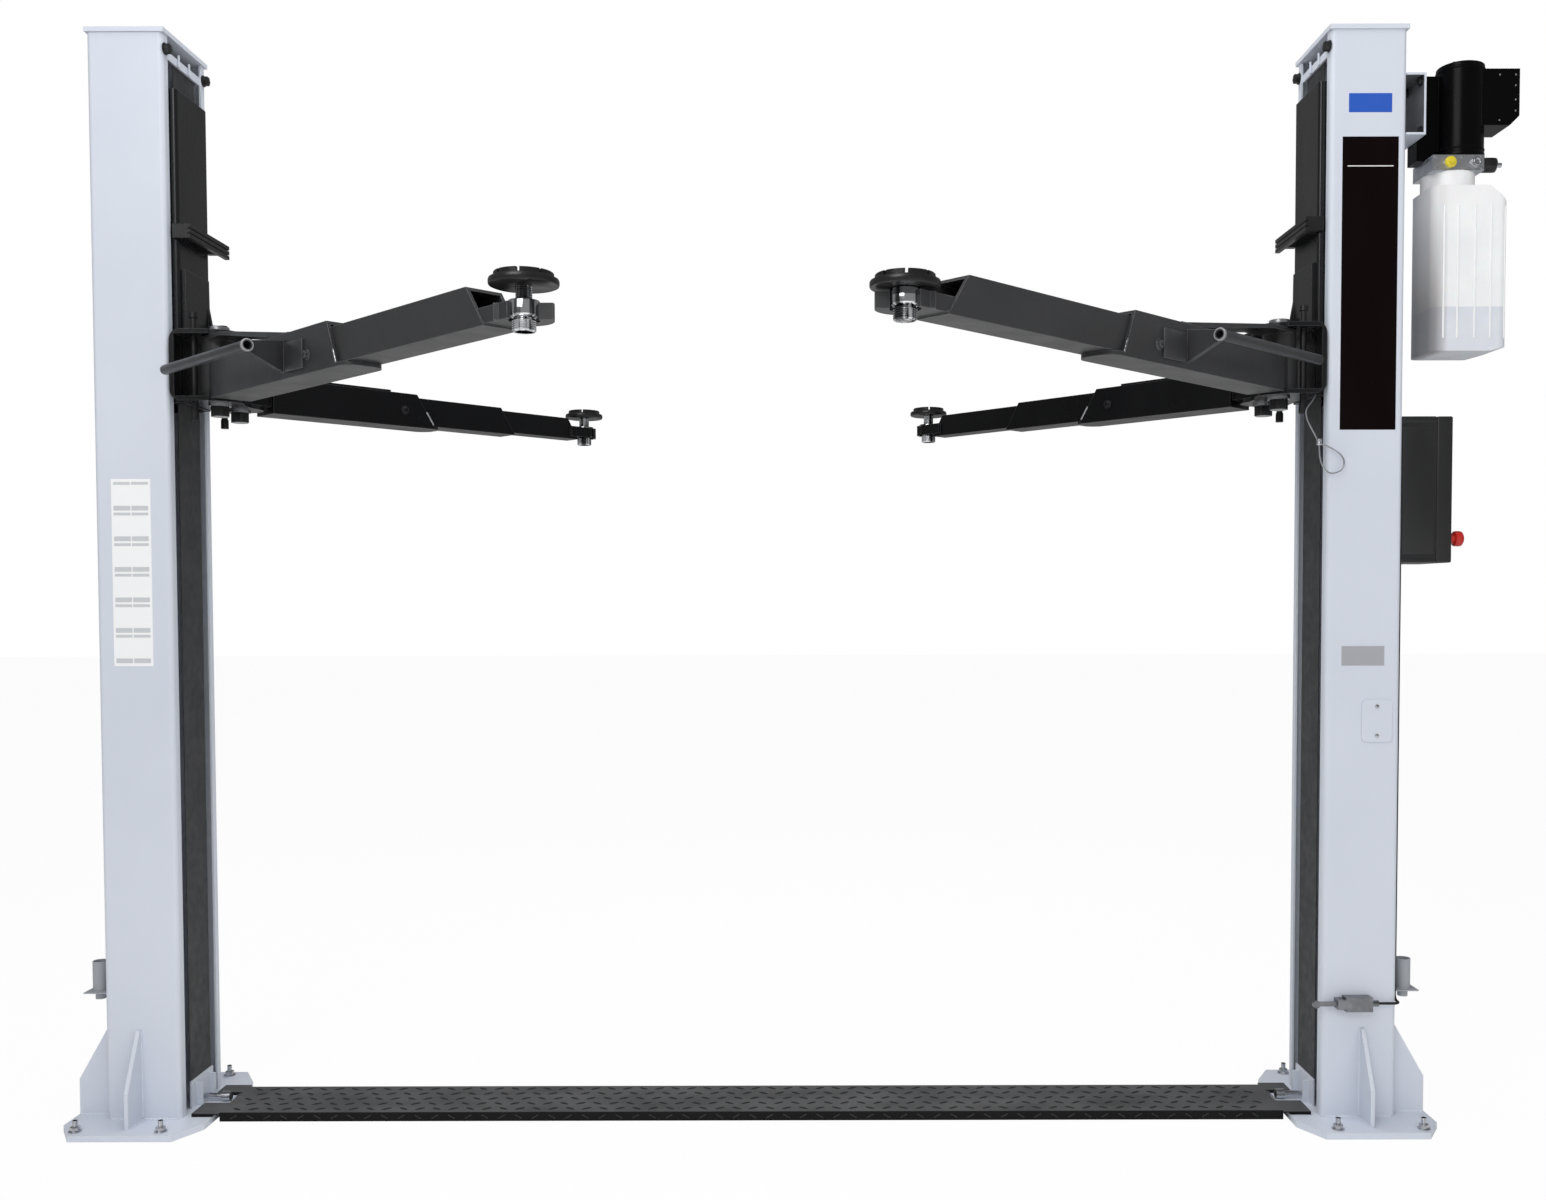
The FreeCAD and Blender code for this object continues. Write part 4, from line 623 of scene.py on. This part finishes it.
class Fixings(Detail):
    """Anchor nuts, hatch screws and head bolts on the columns."""

    def build(self) -> None:
        """Makes the pieces."""
        bolts = Sculpture("anchor_nuts")
        for side in Side:
            for x in (1.500, 1.718):
                for y in (-0.208, 0.208):
                    spot = (side.value * x, y)
                    bolts.hexagon((*spot, ANCHOR_TOP), UP, 0.0106, 0.0107)
                    bolts.lathe((*spot, FOOT_TOP), UP, thread(0.0125, 0.0290, 0.0062, 0.002, 0.0007), 20)
                    bolts.lathe((*spot, FOOT_TOP), UP, [(0.0, 0.011), (0.0, 0.0156), (0.0026, 0.0158),
                                                        (0.0033, 0.0152), (0.0033, 0.0100)])
        bolts.finish("frame", "zinc", self.finishes["zinc"])
        screws = Sculpture("hatch_screws")
        for z in (1.0125, 1.0885):
            screws.dome((1.6195, -0.1278, z), AHEAD, 0.0052, 0.0032)
        screws.finish("frame", "zinc", self.finishes["zinc"])
        heads = Sculpture("head_bolt_caps")
        for side in Side:
            inward = (-side.value, 0, 0)
            for y in (-HEAD_Y, HEAD_Y):
                heads.hexagon((side.value * (HEAD_X + 0.001), y, HEAD_Z), inward, 0.0155, 0.0114, 0.0014)
                heads.lathe((side.value * (HEAD_X + 0.0005), y, HEAD_Z), inward,
                            [(0.0, 0.010), (0.0, 0.0150), (0.0024, 0.0152), (0.0032, 0.0146),
                             (0.0032, 0.010)])
        heads.finish("frame", "black_plastic", self.finishes["black_plastic"])


class Welds(Detail):
    """Painted weld seams at the feet and on the gussets."""

    def build(self) -> None:
        """Makes the pieces."""
        seams = Sculpture("foot_welds")
        low = 0.0165
        front = -0.1255
        for side in Side:
            s = side.value
            for start, end, y in ((1.495, 1.583, front), (1.597, 1.668, front), (1.495, 1.668, -front)):
                seams.bead([(s * start, y, low), (s * end, y, low)], FOOT_BEAD)
            for start, end in ((-0.112, -0.088), (-0.070, 0.070), (0.088, 0.112)):
                seams.bead([(s * 1.6795, start, low), (s * 1.6795, end, low)], FOOT_BEAD)
            for edge in (1.5848, 1.5952):
                seams.bead([(s * edge, front, 0.020), (s * edge, front, 0.244)], RIB_BEAD)
                seams.bead([(s * edge, front, low), (s * edge, -0.200, low)], RIB_BEAD)
            for y in (-0.0872, -0.0768, 0.0768, 0.0872):
                seams.bead([(s * 1.6795, y, 0.020), (s * 1.6795, y, 0.244)], RIB_BEAD)
                seams.bead([(s * 1.682, y, low), (s * 1.766, y, low)], RIB_BEAD)
        seams.finish("frame", "column_paint", self.finishes["column_paint"], 70.0)


class Plates(Detail):
    """Blank decals on the columns' front faces."""

    def build(self) -> None:
        """Makes the pieces."""
        for name, low, high, finish in (
                ("blue_label", (1.531, 2.603), (1.641, 2.651), "blue_vinyl"),
                ("dark_panel", (1.516, 1.799), (1.659, 2.542), "dark_vinyl"),
                ("white_sheet", (-1.637, 1.199), (-1.536, 1.680), "white_vinyl")):
            plate = Sculpture(name)
            plate.box((low[0], FACE - 0.0005, low[1]), (high[0], FACE + 0.0005, high[1]), 0.0003, 1)
            plate.finish("frame", "column_paint", self.finishes[finish])
        cells = Sculpture("sheet_cells")
        for column in range(2):
            for row in range(6):
                x, z = -1.631 + column * 0.046, 1.207 + row * 0.0785
                cells.box((x, FACE - 0.0008, z), (x + 0.043, FACE - 0.0002, z + 0.012), 0.0002, 1)
                cells.box((x, FACE - 0.0008, z + 0.066), (x + 0.043, FACE - 0.0002, z + 0.073), 0.0002, 1)
        cells.finish("frame", "column_paint", self.finishes["grey_vinyl"])
        rule = Sculpture("panel_rule")
        rule.box((1.529, FACE - 0.0008, 2.4665), (1.646, FACE - 0.0002, 2.4690), 0.0002, 1)
        rule.finish("frame", "column_paint", self.finishes["white_vinyl"])
        plate = Sculpture("silver_plate")
        plate.box((1.527, FACE - 0.0012, 1.194), (1.637, FACE + 0.0005, 1.244), 0.0005, 1)
        for x in (1.532, 1.632):
            plate.dome((x, FACE - 0.0011, 1.219), AHEAD, 0.0018, 0.0010)
        plate.finish("frame", "zinc", self.finishes["plate_metal"])


@dataclass
class Cover(Detail):
    """The floor cover's raised tread marks."""

    start: float = -1.36
    length: float = 2.76
    pitch: float = 0.044
    rows: int = 5

    def build(self) -> None:
        """Makes the pieces."""
        marks = Sculpture("tread_marks")
        for column in range(int(self.length / self.pitch)):
            for row in range(self.rows):
                x = self.start + column * self.pitch + (row % 2) * self.pitch / 2
                y = -0.078 + row * 0.037
                lean = math.radians(30 if (column + row) % 2 else -30)
                self.mark(marks, (x, y, 0.0248), lean)
            x = self.start + column * self.pitch
            marks.box((x - 0.010, -0.1008, 0.0100), (x + 0.010, -0.0995, 0.0136), 0.0006, 1,
                      Matrix.Rotation(math.radians(28 if column % 2 else -28), 4, "Y"))
        marks.finish("frame", "cover_steel", self.finishes["mark_paint"], 50.0)

    @staticmethod
    def mark(marks: Sculpture, spot: Point, lean: float) -> None:
        """Adds one lens-shaped mark."""
        part = bmesh.new()
        bmesh.ops.create_uvsphere(part, u_segments=10, v_segments=5, radius=1.0)
        bmesh.ops.scale(part, vec=Vector((0.0150, 0.0042, 0.0024)), verts=part.verts)
        marks.keep(part, Matrix.Translation(spot) @ Matrix.Rotation(lean, 4, "Z"))


class PowerUnit(Detail):
    """Details of the motor, terminal box, pump block and oil tank."""

    def build(self) -> None:
        """Makes the pieces."""
        self.tank()
        self.pump()
        self.motor()

    def tank(self) -> None:
        """The tank's moulded ribs."""
        ribs = Sculpture("tank_ribs")
        low, high = 2.030, 2.366
        for x in (1.7732, 1.8084, 1.8522, 1.8925):
            for y, way in ((-0.1337, -1), (0.0097, 1)):
                near, far = sorted((y, y + way * 0.0030))
                ribs.box((x - 0.0026, near, low), (x + 0.0026, far, high), 0.0012)
        ribs.box((1.9275, -0.1305, low), (1.9325, -0.1235, high), 0.0012)
        ribs.finish("frame", "tank_plastic", self.finishes["clear_plastic"])

    def pump(self) -> None:
        """The cap, plug, screws and valve coil of the pump block."""
        cap = Sculpture("breather_cap")
        cap.lathe((1.791, PUMP_FRONT, PUMP_Z), AHEAD,
                  [(0.0, 0.0148), (0.004, 0.0150), (0.0062, 0.0138), (0.0070, 0.010), (0.0086, 0.0085),
                   (0.0090, 0.0)], 12)
        cap.hexagon((1.791, -0.1330, PUMP_Z), AHEAD, 0.004, 0.0052, 0.0006)
        cap.finish("frame", "zinc", self.finishes["yellow_plastic"])
        plug = Sculpture("pump_plugs")
        plug.hexagon((1.857, PUMP_FRONT, PUMP_Z), AHEAD, 0.006, 0.0126)
        plug.lathe((1.857, -0.1300, PUMP_Z), AHEAD,
                   [(0.0, 0.0095), (0.0024, 0.0092), (0.0030, 0.0080), (0.0006, 0.0052), (0.0006, 0.0)], 24)
        for x in (1.757, 1.824, 1.873):
            for z in (2.4635, 2.4905):
                plug.dome((x, -0.1209, z), AHEAD, 0.0034, 0.0022)
        plug.finish("frame", "zinc", self.finishes["zinc"])
        ring = Sculpture("valve_coil")
        ring.lathe((1.8785, -0.098, PUMP_Z), (1, 0, 0),
                   [(0.0, 0.0150), (0.0, 0.0178), (0.003, 0.0186), (0.0085, 0.0186), (0.0100, 0.0182),
                    (0.0115, 0.0187), (0.0330, 0.0187), (0.0355, 0.0184), (0.0380, 0.0178), (0.0386, 0.0)])
        ring.finish("frame", "black_plastic", self.finishes["black_plastic"], 20.0)

    def motor(self) -> None:
        """The motor's end rings and screws, and the terminal box's lid and screws."""
        rings = Sculpture("motor_rings")
        centre = (MOTOR_X, UNIT_Y, 0.0)
        for low, high in ((2.4975, 2.512), (2.5165, 2.5225), (2.720, 2.7275)):
            rings.lathe(centre, UP, [(low, 0.0570), (low, 0.0588), (low + 0.002, 0.0596),
                                     (high - 0.002, 0.0596), (high, 0.0588), (high, 0.0570)], 64)
        rings.lathe(centre, UP, [(2.7335, 0.0574), (2.7360, 0.0560), (2.7385, 0.050), (2.7395, 0.030),
                                 (2.7398, 0.0)], 64)
        for x, y in ((1.873, -0.040), (1.812, -0.041), (1.870, -0.088), (1.814, -0.088)):
            rings.hexagon((x, y, 2.7385), UP, 0.004, 0.0042, 0.0006)
        rings.finish("frame", "black_paint", self.finishes["motor_paint"])
        lid = Sculpture("terminal_screws")
        for x, z in ((1.922, 2.703), (1.963, 2.703), (1.963, 2.676), (1.963, 2.640), (1.963, 2.612),
                     (1.922, 2.588)):
            lid.dome((x, -0.1088, z), AHEAD, 0.0026, 0.0016)
        for y, z in ((-0.098, 2.706), (-0.026, 2.706), (-0.098, 2.608), (-0.026, 2.608)):
            lid.dome((1.9714, y, z), (1, 0, 0), 0.0026, 0.0016)
        lid.finish("frame", "zinc", self.finishes["zinc"])
        bolts = Sculpture("unit_bolts")
        for z in (2.562, 2.688):
            for y in (-0.106, -0.018):
                bolts.hexagon((1.7218, y, z), (-1, 0, 0), 0.008, 0.0085)
                bolts.lathe((1.7220, y, z), (-1, 0, 0),
                            [(0.0, 0.013), (0.0012, 0.0132), (0.002, 0.0125), (0.002, 0.008)], 24)
        bolts.finish("frame", "zinc", self.finishes["black_plastic"])


class ControlBox(Detail):
    """The control box's lid and front panel, and the stop button."""

    def build(self) -> None:
        """Makes the pieces."""
        lid = Sculpture("box_lid_lip")
        lid.box((1.7715, -0.1164, 1.4585), (1.8117, 0.0764, 1.8345), 0.0045, 3)
        lid.box((1.6795, -0.1164, 1.8185), (1.7695, 0.0764, 1.8345), 0.0030, 2)
        lid.box((1.6795, -0.1164, 1.4585), (1.7695, 0.0764, 1.4700), 0.0030, 2)
        lid.box((1.6840, -0.1159, 1.4800), (1.7640, -0.1140, 1.8080), 0.0009, 2)
        lid.box((1.6840, 0.0740, 1.4800), (1.7640, 0.0759, 1.8080), 0.0009, 2)
        lid.finish("frame", "column_paint", self.finishes["box_paint"])
        screws = Sculpture("box_screws")
        for y in (-0.103, 0.063):
            for z in (1.474, 1.819):
                screws.dome((1.8116, y, z), (1, 0, 0), 0.0045, 0.0026)
        screws.finish("frame", "zinc", self.finishes["zinc"])
        button = Sculpture("stop_head")
        button.lathe(BUTTON, (1, 0, 0),
                     [(-0.006, 0.0), (-0.006, 0.011), (0.011, 0.0108), (0.0145, 0.0135), (0.0170, 0.0188),
                      (0.0205, 0.0200), (0.0310, 0.0200), (0.0350, 0.0186), (0.0380, 0.0140),
                      (0.0395, 0.0070), (0.0398, 0.0)], 48)
        button.finish("stop_button_body", "red_plastic", self.finishes["red_plastic"], 40.0, "stop_button")
        collar = Sculpture("stop_collar")
        collar.lathe(BUTTON, (1, 0, 0),
                     [(-0.001, 0.0118), (-0.001, 0.0170), (0.0024, 0.0170), (0.0036, 0.0158),
                      (0.0036, 0.0118)], 40)
        collar.finish("frame", "black_plastic", self.finishes["black_plastic"])


class Arms(Detail):
    """Threads, pads, bolts and weld seams of the swing arms."""

    def build(self) -> None:
        """Makes the pieces."""
        for side in Side:
            self.near(side)
            self.far(side)
            for end, raised in ((-1, 0.0 if side is Side.RIGHT else RAISED), (1, RAISED)):
                self.pad(side, end, raised)
            self.pivots(side)

    @staticmethod
    def place(side: Side, end: int) -> Matrix:
        """The frame of an arm: X along it, Z up, from its pivot at the floor's height."""
        turn = end * (NEAR_ANGLE if end < 0 else FAR_ANGLE)
        turn = turn if side is Side.LEFT else 180.0 - turn
        lift = RIGHT_LIFT if side is Side.RIGHT else 0.0
        spot = Matrix.Translation((side.value * PIVOT_X, end * PIVOT_Y, lift))
        return spot @ Matrix.Rotation(math.radians(turn), 4, "Z")

    def near(self, side: Side) -> None:
        """The handle's ring, the side plate with its bolt and the seams of a near arm."""
        name = f"{side.word}_near"
        outer = -1 if side is Side.LEFT else 1
        extra = RIGHT_EXTRA if side is Side.RIGHT else 0.0
        place = self.place(side, -1)
        ring = Sculpture(name + "_handle_ring", place)
        off = outer * 0.143
        ring.lathe((0.5045 + extra, off, 1.950), (1, 0, 0),
                   [(-0.010, 0.0128), (-0.008, 0.0142), (-0.002, 0.0150), (0.0, 0.0144), (0.0008, 0.0126),
                    (0.0, 0.0104), (-0.006, 0.0096)], 40)
        ring.finish(name + "_arm_body", "black_paint", self.finishes["worn_edge"])
        plate = Sculpture(name + "_side_plate", place)
        y = outer * 0.050
        ys = sorted((y - outer * 0.001, y + outer * 0.006))
        plate.box((0.500 + extra, ys[0], 1.898), (0.590 + extra, ys[1], 1.966), 0.0015, 2)
        plate.lathe((0.606 + extra, y - outer * 0.001, 1.926), (0, outer, 0),
                    [(0.0, 0.0135), (0.0028, 0.0135), (0.0036, 0.0125), (0.0036, 0.009)], 32)
        plate.hexagon((0.606 + extra, y + outer * 0.002, 1.926), (0, outer, 0), 0.008, 0.0085)
        plate.finish(name + "_arm_body", "black_paint", self.finishes["arm_paint"])
        seams = Sculpture(name + "_seams", place)
        mouth = 0.700 + extra
        for across in (y, -y):
            seams.bead([(mouth + 0.044, across, 1.892), (mouth + 0.030, across, 1.925)], RIB_BEAD)
        seams.finish(name + "_arm_body", "black_paint", self.finishes["weld_metal"], 60.0)
        dark = Sculpture(name + "_dark_seams", place)
        dark.bead([(0.074, -0.043, 2.000), (0.100, -0.043, 2.010)], RIB_BEAD)
        for across in (-0.044, 0.044):
            dark.bead([(0.460 + extra, across, 1.991), (0.500 + extra, across, 1.991)], RIB_BEAD)
        dark.bead([(0.475 + extra, outer * 0.0515, 1.902), (0.475 + extra, outer * 0.0515, 1.970)], RIB_BEAD)
        dark.finish(name + "_arm_body", "black_paint", self.finishes["arm_paint"], 60.0)

    def far(self, side: Side) -> None:
        """The side bolts and seams of a far arm."""
        name = f"{side.word}_far"
        place = self.place(side, 1)
        bolt = Sculpture(name + "_side_bolts", place)
        for y in (-1, 1):
            bolt.lathe((0.465, y * 0.0495, 1.921), (0, y, 0),
                       [(0.0, 0.0125), (0.0026, 0.0125), (0.0034, 0.0115), (0.0034, 0.008)])
            bolt.hexagon((0.465, y * 0.052, 1.921), (0, y, 0), 0.006, 0.0078)
        bolt.finish(name + "_arm_body", "black_paint", self.finishes["far_paint"])
        seams = Sculpture(name + "_seams", place)
        for y in (-0.0505, 0.0505):
            seams.bead([(0.5585, y, 1.885), (0.535, y, 1.922)], RIB_BEAD)
        seams.finish(name + "_arm_body", "black_paint", self.finishes["weld_metal"], 60.0)

    def pad(self, side: Side, end: int, raised: float) -> None:
        """A pad with its notched rim, the thread of its screw and its chromed collar."""
        word = "near" if end < 0 else "far"
        name = f"{side.word}_{word}"
        place = self.place(side, end) @ Matrix.Translation((REACH[side.value, end], 0, 0))
        low = PAD_LOW + raised
        screw = Sculpture(name + "_thread", place)
        screw.lathe((0, 0, 0), UP, thread(low - 0.060, low + 0.006, 0.016), 40)
        screw.finish(name + "_pad_body", "chrome", self.finishes["chrome"], 25.0, name + "_screw")
        radius = 0.067 if end < 0 else 0.060
        rubber = Sculpture(name + "_rubber", place)
        top = low + 0.017
        rubber.lathe((0, 0, 0), UP,
                     [(low, SCREW_HOLE), (low, radius - 0.0045), (low + 0.0014, radius - 0.0012),
                      (low + 0.0045, radius), (low + 0.0105, radius), (low + 0.0138, radius - 0.0014),
                      (top - 0.0010, radius - 0.0058), (top, radius - 0.0100), (top, SCREW_HOLE),
                      (low + 0.0060, SCREW_HOLE), (low + 0.0060, 0.0)], 72)
        outer, inner = radius - 0.0100, radius - 0.0220
        rim = [(top - 0.001, inner), (top - 0.001, outer), (top + 0.0072, outer),
               (top + 0.0088, outer - 0.0016), (top + 0.0090, outer - 0.0035),
               (top + 0.0090, inner + 0.0012), (top + 0.0080, inner)]
        count = 8
        for index in range(count):
            rubber.sector(rim, math.tau * (index + 0.07) / count, math.tau * 0.86 / count, 10)
        for index in range(5):
            ring = 0.010 + index * 0.0068
            rubber.lathe((0, 0, top - 0.0002), UP, [(0.0, ring - 0.0018), (0.0012, ring - 0.0009),
                                                    (0.0012, ring + 0.0009), (0.0, ring + 0.0018)], 40)
        rubber.finish(name + "_pad_body", "black_rubber", self.finishes["black_rubber"], 40.0, name + "_pad")
        bush = Sculpture(name + "_bush", place)
        nut = [(height, wide) for height, wide in thread(1.876, 1.8965, 0.023, 0.0042, 0.0016) if wide > 0]
        collar = [(1.8975, 0.0205), (1.9005, 0.0205), (1.9045, 0.0285), (1.9065, 0.0298), (1.9080, 0.0300),
                  (1.9332, 0.0300), (1.9346, 0.0292), (1.9350, 0.0276), (1.9350, 0.0188), (1.9338, 0.0176),
                  (1.9338, 0.0162), (1.876, 0.0162)]
        bush.lathe((0, 0, 0), UP, [(1.876, 0.0162)] + nut + collar, 64)
        bush.finish(name + "_tip", "chrome", self.finishes["chrome"], 30.0, name + "_collar")

    def pivots(self, side: Side) -> None:
        """The nuts under and the heads over the pivot pins."""
        nuts = Sculpture(side.word + "_pivot_nuts")
        black = Sculpture(side.word + "_lower_nuts")
        lift = RIGHT_LIFT if side is Side.RIGHT else 0.0
        for end in (-1, 1):
            spot = (side.value * PIVOT_X, end * PIVOT_Y)
            nuts.lathe((*spot, 2.0705 + lift), UP,
                       [(0.0, 0.0250), (0.001, 0.0262), (0.006, 0.0262), (0.0078, 0.0248), (0.0080, 0.012),
                        (0.0070, 0.0100), (0.0070, 0.0)], 48)
            black.hexagon((*spot, 1.8728 + lift), (0, 0, -1), 0.0265, 0.0212)
        nuts.finish(side.word + "_lift", "zinc", self.finishes["zinc"])
        black.finish(side.word + "_lift", "black_paint", self.finishes["black_paint"])


@dataclass
class Lanyard(Detail):
    """The release lanyard's wire, along the route of the model's solid."""

    thickness: float = 0.004
    route: tuple[Point, ...] = (
        (1.458, -0.112, 1.8917), (1.452, -0.118, 1.878), (1.420, -0.129, 1.843), (1.4575, -0.134, 1.772),
        (1.4605, -0.135, 1.758), (1.462, -0.1355, 1.720), (1.482, -0.136, 1.684), (1.518, -0.137, 1.690),
        (1.527, -0.1375, 1.722), (1.500, -0.137, 1.748), (1.4665, -0.135, 1.7615))

    def build(self) -> None:
        curve = bpy.data.curves.new("lanyard_wire", "CURVE")
        curve.dimensions = "3D"
        spline = curve.splines.new("NURBS")
        spline.points.add(len(self.route) - 1)
        for point, place in zip(spline.points, self.route):
            point.co = (*place, 1.0)
        spline.order_u = 3
        spline.use_endpoint_u = True
        spline.resolution_u = 12
        curve.bevel_depth = self.thickness / 2
        curve.bevel_resolution = 4
        curve.use_fill_caps = True
        curve.materials.append(self.finishes["wire"])
        wire = bpy.data.objects.new("lanyard_wire", curve)
        bpy.context.scene.collection.objects.link(wire)
        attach(wire, "right_lift")
        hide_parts("release_lanyard")
        clamp = Sculpture("lanyard_ferrule")
        clamp.lathe((1.461, -0.134, 1.759), UP,
                    [(0.0, 0.0), (0.0, 0.0060), (0.0015, 0.0070), (0.0055, 0.0070), (0.0070, 0.0062),
                     (0.0090, 0.0062), (0.0105, 0.0070), (0.0145, 0.0070), (0.0160, 0.0060),
                     (0.0160, 0.0)], 24)
        ferrule = clamp.finish("right_lift", "zinc", self.finishes["zinc"])


@dataclass
class Studio:
    """Floor, lights and camera."""

    sensor: float = 36.0
    focal_pixels: float = 1385.56
    width_pixels: float = 1546.0
    height_pixels: float = 1200.0
    centre: tuple[float, float] = (816.41, 645.93)
    spot: tuple[float, float, float] = (0.1734, -3.6941, 1.3692)
    pitch: float = 0.0341
    roll: float = -0.0022

    def build(self) -> None:
        """Makes the whole studio."""
        self.floor()
        self.world()
        self.lamp("key", (-1.8, -4.6, 4.8), (0.2, 0.0, 1.4), 3.0, 112.0)
        self.lamp("fill", (3.6, -4.6, 2.4), (0.4, 0.0, 1.3), 3.4, 46.0, False)
        self.lamp("low", (0.2, -4.6, 0.4), (0.0, 0.0, 1.9), 2.4, 30.0, False)
        self.lamp("rim", (0.0, 3.4, 3.6), (0.0, 0.0, 1.6), 2.4, 14.0, False)
        self.lamp("top", (0.0, -0.4, 5.4), (0.0, 0.0, 0.0), 4.0, 130.0, False)
        self.camera()

    def floor(self) -> None:
        """The pale floor."""
        mesh = bmesh.new()
        bmesh.ops.create_grid(mesh, x_segments=1, y_segments=1, size=30.0)
        data = bpy.data.meshes.new("studio_floor")
        mesh.to_mesh(data)
        mesh.free()
        floor = bpy.data.objects.new("studio_floor", data)
        bpy.context.scene.collection.objects.link(floor)
        shader = Shader("studio_floor")
        shader.set(Base_Color=(0.93, 0.93, 0.93), Roughness=0.9, Specular_IOR_Level=0.1)
        glow = shader.node("Emission", None, 0, Color=(1.0, 1.0, 1.0), Strength=1.0)
        path = shader.node("LightPath", None, "Is Camera Ray")
        join = shader.tree.nodes.new("ShaderNodeMixShader")
        shader.tree.links.new((path * 0.955).socket, join.inputs[0])
        shader.tree.links.new(shader.surface.outputs[0], join.inputs[1])
        shader.tree.links.new(glow.socket, join.inputs[2])
        shader.tree.links.new(join.outputs[0], shader.tree.nodes["Material Output"].inputs["Surface"])
        data.materials.append(shader.material)

    def world(self) -> None:
        """White surroundings, plain white to the camera."""
        world = bpy.data.worlds.new("studio")
        bpy.context.scene.world = world
        world.use_nodes = True
        tree = world.node_tree
        background = tree.nodes["Background"]
        path = tree.nodes.new("ShaderNodeLightPath")
        camera = Value(tree, path.outputs["Is Camera Ray"])
        glossy = Value(tree, path.outputs["Is Glossy Ray"])
        dim = glossy * -0.12
        tree.links.new((camera * 0.66 + 0.34 + dim).socket, background.inputs["Strength"])
        background.inputs["Color"].default_value = (1, 1, 1, 1)

    def lamp(self, name: str, spot: Point, target: Point, size: float, power: float,
             mirrored: bool = True) -> None:
        """A square soft light that faces a target.

        Args:
            name: The lamp's name.
            spot: Its place.
            target: The point that it faces.
            size: The length of its sides.
            power: Its power in watts.
            mirrored: False if it casts no highlight.
        """
        light = bpy.data.lights.new(name, "AREA")
        light.size = size
        light.energy = power
        lamp = bpy.data.objects.new(name, light)
        bpy.context.scene.collection.objects.link(lamp)
        lamp.location = spot
        lamp.visible_glossy = mirrored
        lamp.rotation_euler = (Vector(target) - Vector(spot)).to_track_quat("-Z", "Y").to_euler()

    def camera(self) -> None:
        """The photograph's camera."""
        data = bpy.data.cameras.new("camera")
        data.sensor_width = self.sensor
        data.lens = self.focal_pixels * self.sensor / self.width_pixels
        data.shift_x = -(self.centre[0] - self.width_pixels / 2) / self.width_pixels
        data.shift_y = (self.centre[1] - self.height_pixels / 2) / self.width_pixels
        camera = bpy.data.objects.new("camera", data)
        bpy.context.scene.collection.objects.link(camera)
        forward = Vector((0.0, math.cos(self.pitch), -math.sin(self.pitch)))
        across = Vector((1.0, 0.0, 0.0))
        rise = across.cross(forward)
        right = across * math.cos(self.roll) + rise * math.sin(self.roll)
        up = rise * math.cos(self.roll) - across * math.sin(self.roll)
        turn = Matrix((right, up, -forward)).transposed().to_4x4()
        camera.matrix_world = Matrix.Translation(self.spot) @ turn
        bpy.context.scene.camera = camera


def pairs(*names: str) -> tuple[str, ...]:
    """The left and right node of each name."""
    return tuple(f"{side.word}_{name}" for side in Side for name in names)


CAD_FINISHES = {
    "column_paint": (*pairs("column", "base_plate"), "top_caps", "column_gussets", "hatch_cover",
                     "curtain_fixings"),
    "bracket_paint": ("power_unit_bracket",),
    "grey_paint": ("adapter_racks",),
    "belt": ("dust_curtains",),
    "black_paint": (*pairs("carriage", "arm_bracket"), "lift_cylinders"),
    "motor_paint": ("pump_motor", "terminal_box"),
    "tread_paint": ("floor_cover",),
    # Near arms get the paler copy of the black paint as painted sheen, far arms the darker copy as painted
    # shade.
    "arm_paint": pairs("near_arm", "near_extension"),
    "far_paint": pairs("far_arm", "far_middle", "far_extension"),
    "box_paint": ("control_box",),
    "zinc": (*pairs("pivot_pins"), "column_bolts", "foot_pipes", "pump_fittings"),
    "switch_metal": ("limit_switch",),
    "black_plastic": (*pairs("near_lock_pin", "far_lock_pin"), "switch_lead"),
    "chrome": pairs("near_collar", "far_collar", "near_screw", "far_screw"),
    "black_rubber": pairs("near_pad", "far_pad", "door_guard"),
    "cast_alloy": ("pump_block",),
    "tank_plastic": ("oil_tank",),
    "red_plastic": ("stop_button",),
}


def main() -> None:
    """Builds every piece in order."""
    logging.basicConfig(level=logging.INFO, format="%(message)s")
    scene = bpy.context.scene
    scene.view_settings.view_transform = "Standard"
    finishes = Finishes()
    for name, nodes in CAD_FINISHES.items():
        for node in nodes:
            finishes.dress(node, name)
    for kind in (Fixings, Welds, Plates, Cover, PowerUnit, ControlBox, Arms, Lanyard):
        kind(finishes).build()
        LOG.info("%s made", kind.__name__)
    Studio().build()
    LOG.info("studio made")


if __name__ == "__main__":
    main()
